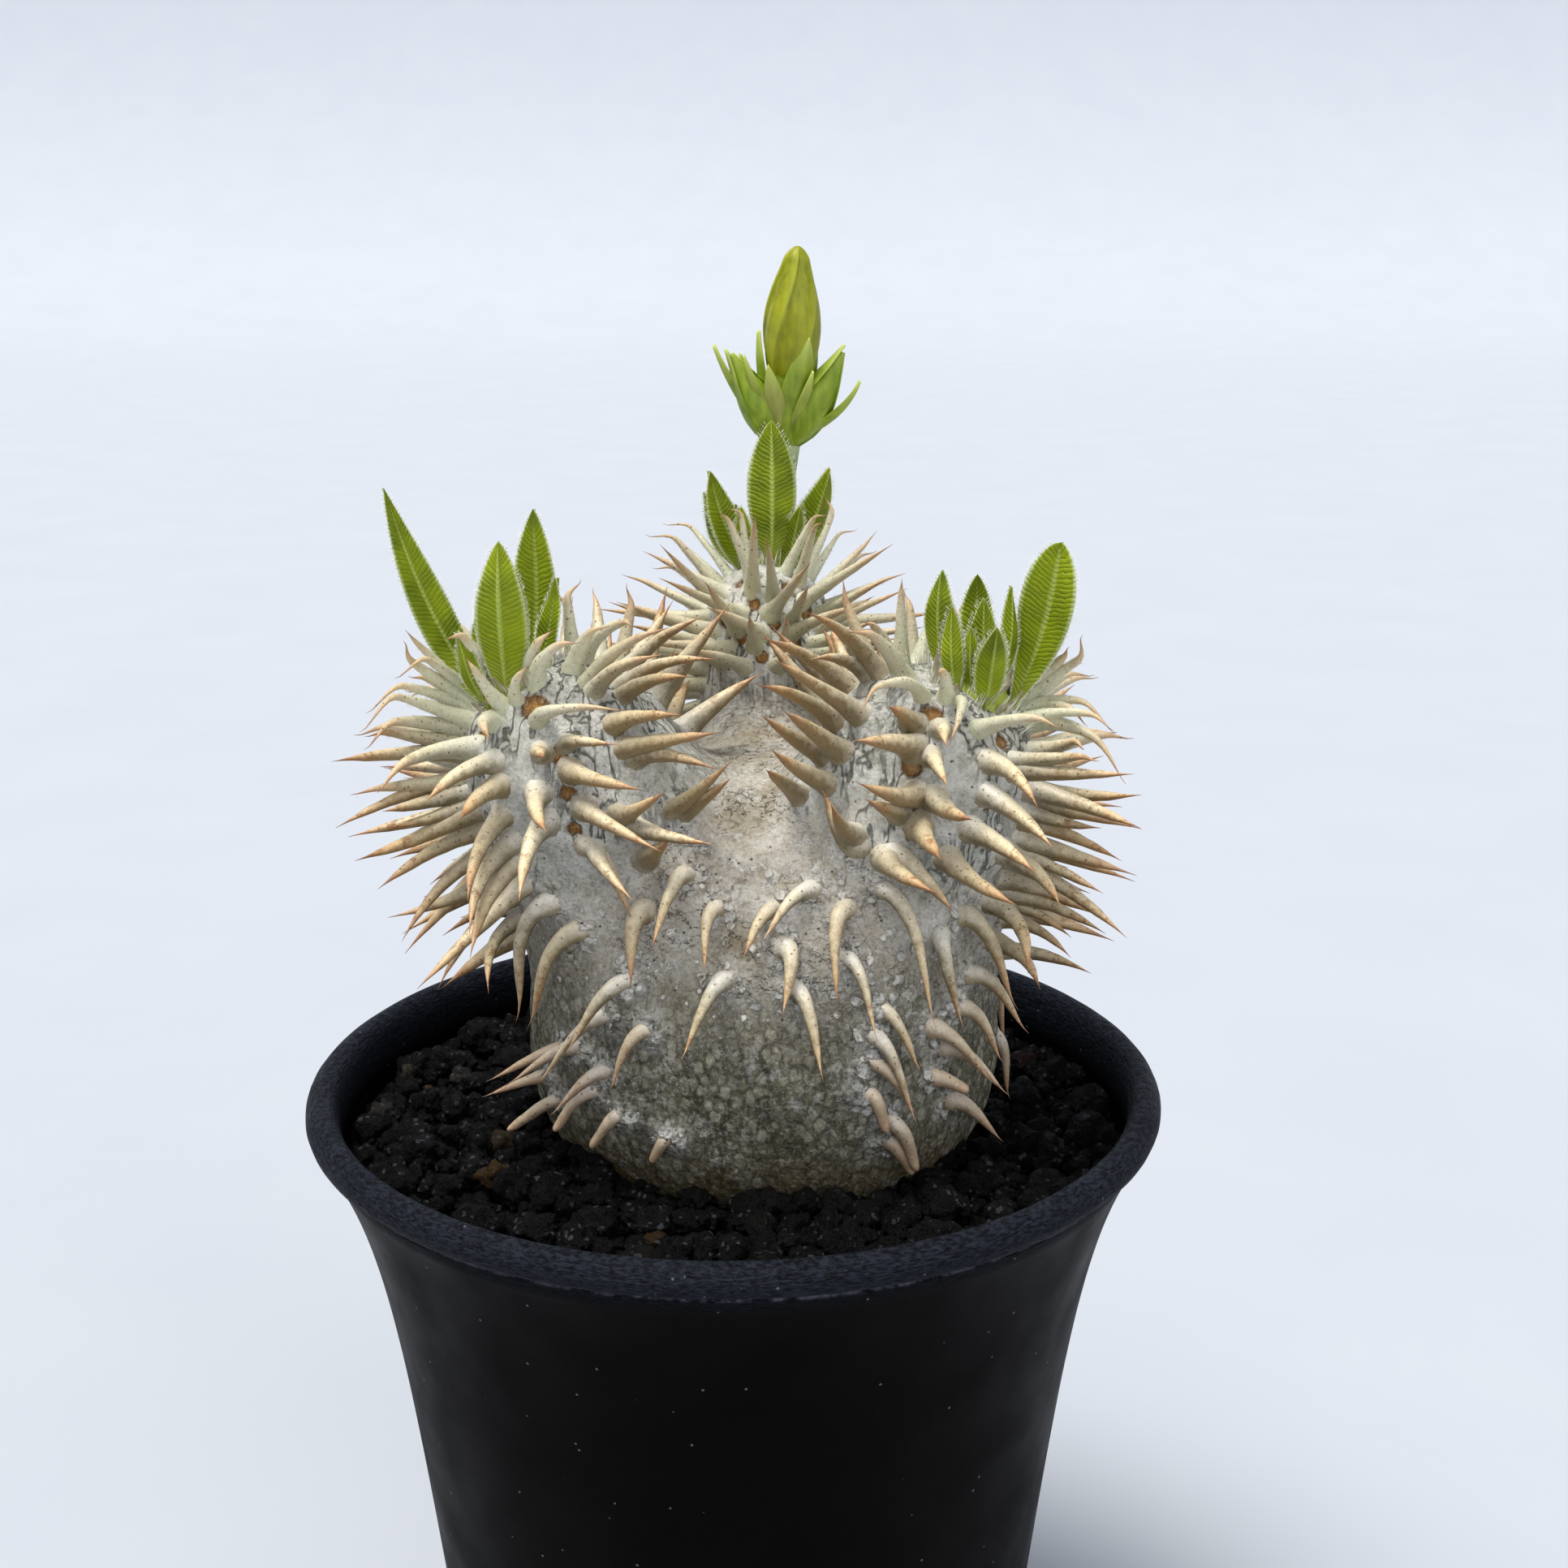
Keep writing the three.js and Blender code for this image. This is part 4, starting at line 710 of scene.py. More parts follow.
def arm_spines(arm, number):
    """Pairs of spines up one arm, spaced by area from the crown down, each a golden angle on."""
    spines = []
    radius = arm["radii"][2]
    cap = 2 * math.pi * radius * radius
    upper = np.linalg.norm(arm["end"] - arm["elbow"])
    lower_up = unit(arm["elbow"] - arm["foot"])
    for i in range(arm["pairs"]):
        area = arm["tuft_room"] + arm["pair_room"] * i
        azimuth = math.radians(GOLDEN_ANGLE * i + arm["turn"])
        on_cap = area < cap * 0.98
        down = 0 if on_cap else (area - cap) / (2 * math.pi * (radius + 1.5))
        tilt = math.acos(1 - area / cap) if on_cap else math.pi / 2
        along = arm["up"]
        if down < upper:
            start = arm["end"] - arm["up"] * down
        else:
            start = arm["elbow"] + lower_up * (upper - down)
            along = unit(along + lower_up * min(1, (down - upper) / 6))
        across = unit(np.cross(along, vec(0, -1, 0)))
        radial = across * math.cos(azimuth) + np.cross(along, across) * math.sin(azimuth)
        direction = along * math.cos(tilt) + radial * math.sin(tilt)
        distance = way_out(start, direction)[0]
        outward = direction @ arm["out"]
        reach = REACH_INSIDE + (REACH_OUTSIDE - REACH_INSIDE) * max(0, outward)
        if distance == 0 or distance > reach or (down > FORK_DEPTH and outward < -0.2):
            continue
        scar = start + direction * distance
        turn = abs(math.degrees(math.atan2(scar[0] - BODY_MIDDLE[0], BODY_MIDDLE[1] - scar[1])))
        listed = any(turn < wide and scar[2] < RIM_Z + top for wide, top in FRONT_FIELDS)
        seen = skin_normal(scar) @ unit(VIEWER - scar) > SEEN_BY_VIEWER
        if scar[2] < LOWEST_SPINE or listed or (arm["listed"] and seen):
            continue
        side = unit(np.cross(along, skin_normal(scar)))
        youth = max(0, 1 - area / cap)
        droop = min(1, down / FULL_DROOP)
        for hand in (-1, 1):
            seed = (number * 200 + i * 2 + (hand + 1) // 2) * 7
            draws = [chance(seed + n) for n in range(6)]
            base = settle(scar + side * hand * (PAIR_HALF + 0.4 * (draws[0] - 0.5)), 4)
            lift = 0.15 + arm["lift"] * youth - 0.25 * droop + 0.3 * (draws[2] - 0.5)
            direction = skin_normal(base) + along * lift
            direction = unit(direction + side * hand * (0.22 + 0.3 * (draws[1] - 0.5)))
            length = (SPINE_LENGTH + SPINE_SPREAD * (draws[3] - 0.3)) * (1 - 0.25 * youth)
            if down > SHORT_FROM:
                length *= SHORTER
            bend = vec(0, 0, -(0.15 + 0.65 * droop) * (0.6 + 0.8 * draws[4])) + side * hand * 0.15
            bend = bend + along * (0.25 * (1 - youth) if down < 6 else 0)
            hook = -HOOK_SHARE * bend + vec(0, 0, 0.1 * (draws[5] - 0.5))
            spines.append(
                {
                    "base": base,
                    "direction": direction,
                    "length": length,
                    "bend": bend,
                    "hook": hook,
                    "radius": SPINE_RADIUS - 0.6 * youth,
                    "youth": youth,
                    "down": down,
                    "scar": scar,
                    "seed": seed,
                    "arm": number,
                }
            )
    return spines


def claw(base, reach, length, radius, arm, seed):
    """A spine that leaves the skin squarely and bends over to end at its reach, times its length."""
    direction = skin_normal(base) + reach * CLAW_LEAN
    bend = (reach - direction) / (1 / 2 - HOOK_SHARE / 3)
    youth = 0
    if arm != BARREL:
        youth = 0.7 * (1 - smooth(np.linalg.norm(base - ARMS[arm]["crown"]), 6, 12))
    return {
        "base": base,
        "direction": direction,
        "length": length,
        "bend": bend,
        "hook": -HOOK_SHARE * bend,
        "radius": radius,
        "youth": youth,
        "down": 30,
        "scar": None,
        "seed": seed,
        "arm": arm,
        "reach": reach,
    }


def sight(x, height):
    """The viewer's line of sight through a point of the reading plane."""
    return unit(above(x, READING_Y, height) - VIEWER)


def skin_on(line):
    """The first skin that a line of sight meets, or the skin nearest to it."""
    steps = VIEWER + np.arange(*SIGHT_RANGE, 0.5)[:, None] * line
    distances = skin_distance(steps)
    met = np.flatnonzero(distances <= 0)
    nearest = met[0] if len(met) else distances.argmin()
    return settle(steps[nearest], 6)


def head_spine(foot_x, foot_height, tip_x, tip_height, length, radius, seed):
    """A claw of a front arm, by where its foot and tip line up for the viewer."""
    base = skin_on(sight(foot_x, foot_height))
    to_tip = sight(tip_x, tip_height)
    across = base - VIEWER
    abreast = across @ to_tip
    spare = length**2 - (across @ across - abreast**2)
    nearer = -1 if skin_normal(base) @ sight(foot_x, foot_height) < 0.1 else 1
    reach = VIEWER + to_tip * (abreast + nearer * math.sqrt(max(spare, 0))) - base
    span = np.linalg.norm(reach)
    return claw(base, reach / span, span, radius, 0 if base[0] < HEART[0] else 1, seed)


def barrel_spine(azimuth, height, length, swing, radius, seed):
    """A spine of the barrel, which hangs down and swings to one side."""
    level = vec(BODY_MIDDLE[0], BODY_MIDDLE[1], RIM_Z + height)
    outward = heading(azimuth, 90)
    base = settle(level + outward * way_out(level, outward)[0], 4)
    normal = skin_normal(base)
    turn = math.radians(swing)
    facing = vec(1, 0, 0) if abs(azimuth) < 90 else heading(azimuth + 90, 90)
    reach = facing * math.sin(turn) - UP * math.cos(turn)
    reach = reach + normal * max(LEAST_STAND_OFF, STAND_OFF - reach @ normal)
    return claw(base, reach, length, radius, BARREL, seed)


def listed_spines():
    spines = [head_spine(*row, CLAW_DRAWS + DRAW_STEP * i) for i, row in enumerate(HEAD_SPINES)]
    spines += [barrel_spine(*row, FRONT_DRAWS + DRAW_STEP * i) for i, row in enumerate(FRONT_SPINES)]
    for i in range(BACK_COUNT):
        azimuth = BACK_AZIMUTH + (i * GOLDEN_ANGLE) % BACK_SPAN
        height = BACK_HEIGHTS[0] + (BACK_HEIGHTS[1] - BACK_HEIGHTS[0]) * (i + 0.5) / BACK_COUNT
        swing = BACK_SWING * (2 * chance(i + 900) - 1)
        length = BACK_LENGTHS[0] + (BACK_LENGTHS[1] - BACK_LENGTHS[0]) * chance(i + 950)
        seed = BACK_DRAWS + DRAW_STEP * i
        spines.append(barrel_spine(azimuth, height, length, swing, BACK_RADIUS, seed))
    return spines


def spine_points(s, t):
    """Points up a spine's middle line. A barrel spine has a knuckle just off the skin."""
    t = t[:, None]
    path = s["direction"] * t + s["bend"] * t * t / 2 + s["hook"] * t**3 / 3
    if s["arm"] == BARREL:
        reach = s["reach"]
        normal = skin_normal(s["base"])
        off = normal - reach * (normal @ reach)
        beside = unit(np.cross(UP, normal))
        swing = reach @ beside + 0.2 * (chance(s["seed"] + 3009) - 0.5)
        beside = beside * math.copysign(0.2 + 0.28 * chance(s["seed"] + 3008), swing)
        early = t**0.6 * (1 - t) ** 1.5
        path = reach * t + (KNUCKLE * off + beside) * early + TIP_FLICK * off * t**3 * (1 - t)
    return s["base"] + s["length"] * path


# Materials


def colour(code):
    """A hex colour of the screen as linear light."""
    parts = [int(code[i : i + 2], 16) / 255 for i in (0, 2, 4)]
    linear = [p / 12.92 if p <= 0.04045 else ((p + 0.055) / 1.055) ** 2.4 for p in parts]
    return (*linear, 1)


def per_mm(size):
    """The scale of a pattern whose marks measure size in millimetres."""
    return 1000 / size


# The nodes in use: type, inputs in the order that values are given, output, usual settings.
NODES = {
    "object": ("TexCoord", (), "Object", {}),
    "stretched": ("Mapping", ("Vector", "Scale"), "Vector", {}),
    "number": ("Attribute", (), "Fac", {}),
    "noise": ("TexNoise", ("Vector", "Scale", "Detail", "Roughness"), "Fac", {}),
    "drift": ("TexNoise", ("Vector", "Scale", "Detail"), "Color", {}),
    "cell": ("TexVoronoi", ("Vector", "Scale"), "Distance", {}),
    "cell draw": ("TexVoronoi", ("Vector", "Scale"), "Color", {}),
    "cell edge": ("TexVoronoi", ("Vector", "Scale"), "Distance", {"feature": "DISTANCE_TO_EDGE"}),
    "ramp": ("ValToRGB", ("Fac",), "Color", {}),
    "range": ("MapRange", (0, 1, 2, 3, 4), 0, {}),
    "mix": ("Mix", (0, 6, 7), 2, {"data_type": "RGBA"}),
    "bump": ("Bump", ("Height", "Distance", "Strength", "Normal"), "Normal", {}),
    "vector": ("VectorMath", (0, 1), 0, {}),
    "plus": ("Math", (0, 1), 0, {"operation": "ADD"}),
    "minus": ("Math", (0, 1), 0, {"operation": "SUBTRACT"}),
    "times": ("Math", (0, 1), 0, {"operation": "MULTIPLY"}),
    "absolute": ("Math", (0,), 0, {"operation": "ABSOLUTE"}),
    "fraction": ("Math", (0,), 0, {"operation": "FRACT"}),
}


def add(tree, kind, *values, stops=(), **settings):
    """One shader node from its values, its ramp's stops and its settings. A string is a hex colour."""
    node, inputs, output, usual = NODES[kind]
    made = tree.nodes.new("ShaderNode" + node)
    for name, value in {**usual, **settings}.items():
        setattr(made, name, value)
    if stops:
        ramp = made.color_ramp.elements
        while len(ramp) < len(stops):
            ramp.new(0.5)
        for element, (position, code) in zip(ramp, stops):
            element.position = position
            element.color = colour(code)
    for key, value in zip(inputs, values):
        if isinstance(value, bpy.types.NodeSocket):
            tree.links.new(value, made.inputs[key])
        else:
            made.inputs[key].default_value = colour(value) if isinstance(value, str) else value
    return made.outputs[output]


def start_material(name, marks=(), **surface):
    """A new material, its node tree, its shader and the numbers that its mesh keeps under marks."""
    material = bpy.data.materials.new(name)
    material.use_nodes = True
    tree = material.node_tree
    shader = tree.nodes["Principled BSDF"]
    for key, value in surface.items():
        shader.inputs[key.replace("_", " ")].default_value = value
    numbers = [add(tree, "number", attribute_name=mark) for mark in marks]
    return material, tree, shader, numbers


def end_material(tree, shader, base, heights=(), gloss=None):
    """Links the colour, the roughness where it varies, and the relief.

    heights are pairs of a height and its depth in millimetres, the coarsest first.
    """
    tree.links.new(base, shader.inputs["Base Color"])
    if gloss is not None:
        tree.links.new(gloss, shader.inputs["Roughness"])
    under = []
    for height, depth in heights:
        under = [add(tree, "bump", height, depth * MM, 1.0, *under)]
    for normal in under:
        tree.links.new(normal, shader.inputs["Normal"])


def place(tree, stretch=(1, 1, 1)):
    """Object coordinates, with each axis scaled."""
    return add(tree, "stretched", add(tree, "object"), stretch)


def coat(tree, base, tone, *shares):
    """A colour with a tone laid over it by the product of its shares.

    A share is an output, a number, or an output with the limits that it is ranged between.
    """
    product = None
    for share in shares:
        if isinstance(share, tuple):
            share = add(tree, "range", *share)
        product = share if product is None else add(tree, "times", product, share)
    return add(tree, "mix", product, base, tone)


def clouds(tree, where, marks, limits):
    """Cloudy marks, given by size in millimetres, detail and roughness, ranged between limits."""
    size, *fineness = marks
    return add(tree, "range", add(tree, "noise", where, per_mm(size), *fineness), *limits)


def dots(tree, where, size, limits, few):
    """A round dot in some of the cells that a pattern of this size scatters."""
    dot = add(tree, "range", add(tree, "cell", where, per_mm(size)), *limits)
    some = add(tree, "range", add(tree, "cell draw", where, per_mm(size)), *few)
    return add(tree, "times", dot, some)


def fine_lines(tree, where, size, width, detail):
    """Thin wandering lines where a noise passes its middle value."""
    level = add(tree, "minus", add(tree, "noise", where, per_mm(size), detail, 0.55), 0.5)
    return add(tree, "range", add(tree, "absolute", level), width, width * 0.25)


def pot_material():
    """Polypropylene, injection moulded, its face sandblasted matt: near black with a dull sheen,
    fine leathery creases on the lip with a bluish-grey sheen painted on them, a pale line below it,
    pale scuffs and dust specks."""
    material, tree, shader, (lip, under) = start_material(
        "polypropylene_moulded_matt_black",
        ("lip", "under"),
        Roughness=0.5,
        IOR=1.49,
        Specular_IOR_Level=0.03,
    )
    where = place(tree)
    flat = place(tree, (1, 1, 4.5))
    base = add(tree, "mix", add(tree, "noise", where, per_mm(22), 4), "010101", "050303")
    # Painted sheen: the lip's creases are painted bluish grey for the light that they catch.
    crease_sheen = clouds(tree, flat, (0.9, 5, 0.7), (0.42, 0.6, 0.2, 0.9))
    base = coat(tree, base, "262a33", lip, crease_sheen)
    # A pale line along the lip's lower edge, broken by a cloud.
    pale_line_gaps = clouds(tree, where, (2.5, 4, 0.7), (0.45, 0.6))
    base = coat(tree, base, "7c808a", under, pale_line_gaps)
    scuff = clouds(tree, flat, (1.6, 5, 0.7), (0.64, 0.8))
    patch = clouds(tree, where, (17, 2), (0.5, 0.7))
    base = coat(tree, base, "3a3a3b", scuff, patch, 0.12)
    base = coat(tree, base, "8e9096", dots(tree, where, 1.9, (0.1, 0.06), (0.6, 0.62)), 0.35)
    gloss = clouds(tree, where, (9, 5), (0.3, 0.7, 0.4, 0.56))
    wrinkle = add(tree, "times", add(tree, "noise", flat, per_mm(1.4), 3, 0.6), lip)
    grain = add(tree, "noise", where, per_mm(0.25), 2)
    end_material(tree, shader, base, [(wrinkle, 0.5), (grain, 0.015)], gloss)
    return material


def soil_material():
    """Fired clay and charcoal granules, crushed and wetted: near-black crumbs with pores that
    swallow the light, a few painted glints and a few beige and red-brown bits."""
    material, tree, shader, (shade, bit, pale) = start_material(
        "charcoal_granules_crushed",
        ("shade", "bit", "pale"),
        Roughness=0.6,
        IOR=1.5,
        Specular_IOR_Level=0.2,
    )
    where = place(tree)
    crumbs = [(0, "010101"), (0.5, "020202"), (0.88, "050504"), (0.94, "100e0c"), (1, "1b1714")]
    bits = [(0, "3c3b39"), (0.33, "514a3f"), (0.66, "5f4622"), (1, "3a231b")]
    base = add(tree, "ramp", shade, stops=crumbs)
    base = coat(tree, base, add(tree, "ramp", bit, stops=bits), pale)
    fine = add(tree, "noise", where, per_mm(0.5), 6, 0.65)
    base = coat(tree, base, "050505", (fine, 0.35, 0.65, 0, 0.55))
    # Painted glints: pale grey specks in the colour for light caught by crumb faces.
    glint = add(tree, "range", add(tree, "cell draw", where, per_mm(0.45)), 0.84, 0.87)
    base = coat(tree, base, "6c6c70", glint, 0.5)
    gloss = add(tree, "range", fine, 0.4, 0.6, 0.2, 0.7)
    coarse = add(tree, "noise", where, per_mm(1.3), 5, 0.7)
    pores = add(tree, "noise", where, per_mm(0.18), 4, 0.7)
    end_material(tree, shader, base, [(coarse, 2.0), (fine, 1.3), (pores, 0.3)], gloss)
    return material


def skin_material():
    """Living caudex bark, grown and weathered: olive-grey cobbles low down, pale and papery higher
    up, whitish round each spine, with brown leaf scars and dark cracks on the arms."""
    material, tree, shader, (level, high, cap, crowd, halo, crack, scar) = start_material(
        "pachypodium_bark_grown_weathered",
        ("level", "high", "cap", "crowd", "halo", "crack", "scar"),
        Roughness=0.85,
        IOR=1.45,
        Specular_IOR_Level=0.3,
    )
    where = place(tree)
    drift = add(tree, "drift", where, per_mm(1.3), 4.0)
    drift = add(tree, "vector", drift, (0.5, 0.5, 0.5), operation="SUBTRACT")
    drift = add(tree, "vector", drift, (0.7 * MM, 0.7 * MM, 0.7 * MM), operation="MULTIPLY")
    moved = add(tree, "vector", place(tree, (1, 1, 0.7)), drift, operation="ADD")
    cloud = add(tree, "noise", where, per_mm(6), 5, 0.65)
    grit = add(tree, "noise", where, per_mm(0.5), 8, 0.75)
    streak = clouds(tree, place(tree, (1, 1, 0.3)), (2.4, 5, 0.65), (0.35, 0.65))
    low_tone = add(tree, "mix", streak, "4f4c3a", "858169")
    high_tone = add(tree, "mix", add(tree, "range", cloud, 0.35, 0.65), "a99b83", "e6e1d6")
    base = add(tree, "mix", high, low_tone, high_tone)
    plain = add(tree, "range", high, 0.1, 0.85, 1, 0.1)
    blob = dots(tree, moved, COBBLE, (0.54, 0.38), (0.15, 0.7))
    base = coat(tree, base, "bdb8a2", blob, plain, 0.62)
    edge = add(tree, "cell edge", moved, per_mm(COBBLE))
    seam = add(tree, "range", edge, 0.1, 0.02)
    base = coat(tree, base, "26261f", seam, plain, 0.4)
    stain = add(tree, "range", level, 7, 0.5, 0, 0.85)
    base = coat(tree, base, "6b5526", stain, (cloud, 0.3, 0.6))
    zone = clouds(tree, where, (9, 3), (0.42, 0.6))
    flake = add(tree, "times", clouds(tree, where, (1.9, 7, 0.75), (0.54, 0.57)), zone)
    base = coat(tree, base, "ece9e1", flake, (high, 0, 1, 0.4, 0.8))
    wear = clouds(tree, where, (2.6, 6, 0.7), (0.55, 0.66))
    base = coat(tree, base, "8a7355", wear, (high, 0.2, 1, 0, 0.6))
    arm_tone = add(tree, "mix", clouds(tree, where, (3, 5, 0.7), (0.35, 0.65)), "b2b2a3", "f1f1ea")
    base = coat(tree, base, arm_tone, cap, 0.85)
    # Painted shade: bark darkened to brown where many spines stand over it.
    shade_among_spines = add(tree, "range", crowd, 0.7, 2.4, 0, 0.8)
    base = coat(tree, base, "7b6a50", shade_among_spines, (cap, 1, 0.2, 0.4, 1))
    tatter = clouds(tree, where, (0.9, 5, 0.7), (0.44, 0.54, 0.1, 1))
    base = coat(tree, base, "eeebe3", halo, tatter, 0.95)
    fissure = fine_lines(tree, place(tree, (1, 1, 0.2)), 1.9, 0.05, 2.0)
    fissure = add(tree, "times", fissure, crack)
    base = coat(tree, base, "46483b", fissure, 0.85)
    peel = fine_lines(tree, place(tree, (1, 1, 1.8)), 2.3, 0.016, 4.0)
    peel = add(tree, "times", peel, add(tree, "range", cap, 1, 0))
    peel = add(tree, "times", peel, clouds(tree, where, (7, 3), (0.45, 0.55)))
    base = coat(tree, base, "574f41", peel, (high, 0, 0.6, 0.2, 0.85))
    base = coat(tree, base, "76532f", (scar, 0.1, 0.5))
    base = coat(tree, base, "b98a4c", (scar, 0.5, 1))
    base = coat(tree, base, "231f19", dots(tree, where, 1.3, (0.16, 0.08), (0.55, 0.6)), 0.85)
    base = coat(tree, base, "332d22", (grit, 0.5, 0.3, 0, 0.5))
    base = coat(tree, base, "f0eee6", (grit, 0.52, 0.7, 0, 0.5))
    cobble = add(tree, "times", add(tree, "range", edge, 0.0, 0.3), plain)
    wrinkle = add(tree, "noise", place(tree, (1, 1, 2.6)), per_mm(1.5), 5, 0.7)
    heights = [(wrinkle, 0.4), (flake, 0.15), (cobble, 0.3), (fissure, -0.4), (peel, -0.25), (grit, 0.35)]
    end_material(tree, shader, base, heights)
    return material


def spine_material():
    """Spines, woody, grown and dried: pale olive-beige horn with fine dark specks, russet towards
    the point, pale green and woolly where they are young, pinkish-grey where old and broken."""
    material, tree, shader, (along, seed, youth, old, top) = start_material(
        "pachypodium_spine_woody_dried",
        ("along", "seed", "youth", "old", "top"),
        Roughness=0.42,
        IOR=1.52,
        Subsurface_Weight=0.08,
        Subsurface_Radius=(1.0, 0.55, 0.3),
        Subsurface_Scale=0.8 * MM,
    )
    where = place(tree)
    wander = clouds(tree, where, (2.5, 3), (0.3, 0.7, -0.07, 0.07))
    wander = add(tree, "plus", add(tree, "range", seed, 0, 1, -0.1, 0.04), wander)
    moved = add(tree, "plus", along, wander)
    lit = add(tree, "ramp", moved, stops=LIT_HORN)
    shade = add(tree, "ramp", moved, stops=SHADED_HORN)
    young = add(tree, "ramp", along, stops=YOUNG_HORN)
    # Painted light and shade: faces turned up take the lit tones, faces turned down the shaded ones.
    mottle = clouds(tree, where, (1.1, 5, 0.65), (0.3, 0.7, -0.3, 0.3))
    upper = add(tree, "plus", top, mottle)
    base = coat(tree, shade, lit, (upper, -0.3, 0.8))
    base = coat(tree, base, "ae9263", (seed, 0, 1, 0, 0.35))
    stain = clouds(tree, where, (1.5, 6, 0.75), (0.53, 0.61, 0, 0.7))
    base = coat(tree, base, "8f6236", stain, (along, 0.1, 0.6))
    base = coat(tree, base, young, (youth, 0.1, 0.7, 0, 0.85))
    base = coat(tree, base, "b59a8a", old, 0.5)
    base = coat(tree, base, "5b3d22", dots(tree, where, 0.75, (0.22, 0.12), (0.36, 0.42)), 0.8)
    grain = add(tree, "noise", where, per_mm(0.3), 4, 0.7)
    base = coat(tree, base, "4a3f28", (grain, 0.5, 0.3, 0, 0.35))
    lumps = add(tree, "noise", where, per_mm(0.9), 4, 0.6)
    fine = add(tree, "noise", where, per_mm(0.2), 3)
    end_material(tree, shader, base, [(lumps, 0.14), (fine, 0.04)])
    return material


def leaf_material():
    """Young leaf, grown: bright green with a waxy face, pale midrib and close parallel side veins."""
    material, tree, shader, (across, along, seed, vein) = start_material(
        "pachypodium_leaf_young",
        ("across", "along", "seed", "vein"),
        Roughness=0.55,
        IOR=1.42,
        Specular_IOR_Level=0.25,
        Subsurface_Weight=0.3,
        Subsurface_Radius=(0.6, 1.0, 0.15),
        Subsurface_Scale=0.7 * MM,
    )
    where = place(tree)
    off = add(tree, "absolute", across)
    base = add(tree, "mix", clouds(tree, where, (4, 3), (0.3, 0.7)), "556600", "86950a")
    base = coat(tree, base, "98a512", (seed, 0, 1, 0, 0.3))
    base = coat(tree, base, "b4bf62", (along, 0.3, 0.0, 0, 0.55))
    wobble = clouds(tree, where, (1.5, 3), (0.3, 0.7, -0.35, 0.35))
    cycle = add(tree, "fraction", add(tree, "plus", vein, wobble))
    line = add(tree, "range", add(tree, "absolute", add(tree, "minus", cycle, 0.5)), 0.3, 0.04)
    line = add(tree, "times", line, clouds(tree, where, (2.2, 4, 0.6), (0.35, 0.6, 0.3, 1)))
    base = coat(tree, base, "a8b63c", line, 0.26)
    base = coat(tree, base, "b6c36a", (off, 0.14, 0.03), 0.6)
    base = coat(tree, base, "ccd2a4", (off, 0.84, 1.0), 0.75)
    fine = add(tree, "noise", where, per_mm(0.3), 4)
    end_material(tree, shader, base, [(line, -0.14), (fine, 0.05)])
    return material


def down_material():
    """Plant down, grown: fine whitish hairs that catch the light along the leaves' margins."""
    material, tree, shader, _ = start_material("plant_down_grown", Roughness=0.6, IOR=1.55)
    cloud = add(tree, "noise", place(tree), per_mm(1.2), 2)
    end_material(tree, shader, add(tree, "mix", cloud, "e3e2cf", "f6f3e8"))
    return material


def green_material(name, low, high, tip, rough):
    """Soft green tissue with fine lengthwise streaks and a paler or browner tip."""
    material, tree, shader, (along, fold, dry) = start_material(
        name,
        ("along", "fold", "dry"),
        Roughness=rough,
        IOR=1.42,
        Subsurface_Weight=0.2,
        Subsurface_Radius=(0.7, 1.0, 0.25),
        Subsurface_Scale=0.6 * MM,
    )
    where = place(tree)
    streak = add(tree, "noise", place(tree, (1, 1, 0.16)), per_mm(0.7), 3)
    cloud = add(tree, "noise", where, per_mm(2.6), 4)
    both = add(tree, "plus", add(tree, "times", streak, 0.45), add(tree, "times", cloud, 0.55))
    base = add(tree, "mix", add(tree, "range", both, 0.32, 0.64), low, high)
    base = coat(tree, base, tip, (fold, 0.55, 0.9, 0, 0.5))
    # Painted shade: the step under each rolled petal's edge is darkened.
    base = coat(tree, base, low, (fold, 0.93, 0.99, 0, 0.7))
    base = coat(tree, base, "a39a5e", dry, 0.6)
    base = coat(tree, base, tip, (along, 0.6, 1.0, 0, 0.85))
    fine = add(tree, "noise", where, per_mm(0.25), 3)
    end_material(tree, shader, base, [(streak, 0.06), (fine, 0.02)])
    return material


def paper_material():
    """Background paper, rolled out: matt and very pale, with hardly any cloud."""
    material, tree, shader, _ = start_material("studio_paper_matt_pale", Roughness=0.9)
    cloud = add(tree, "noise", place(tree), per_mm(60), 3)
    end_material(tree, shader, add(tree, "mix", cloud, "b3b8c1", "babec6"))
    return material


# The pieces


def wall_radius(z):
    depth = RIM_Z - z
    return NECK_RADIUS - TAPER * depth + FLARE * np.exp(-depth / FLARE_DEPTH)


def cut_holes(target, cutters):
    """Cuts solids from a piece and leaves its mesh plain."""
    for cutter in cutters:
        modifier = target.modifiers.new("cut", "BOOLEAN")
        modifier.operation = "DIFFERENCE"
        modifier.object = cutter
    bpy.context.view_layer.update()
    shown = target.evaluated_get(bpy.context.evaluated_depsgraph_get())
    cut = bpy.data.meshes.new_from_object(shown)
    target.modifiers.clear()
    target.data = cut
    for cutter in cutters:
        bpy.data.meshes.remove(cutter.data)


def cutter_of(rings):
    points, faces = tube(rings)
    mesh = bpy.data.meshes.new("cutter")
    mesh.from_pydata((points * MM).tolist(), [], [c for group in faces for c in group.tolist()])
    made = bpy.data.objects.new("cutter", mesh)
    bpy.context.scene.collection.objects.link(made)
    return made


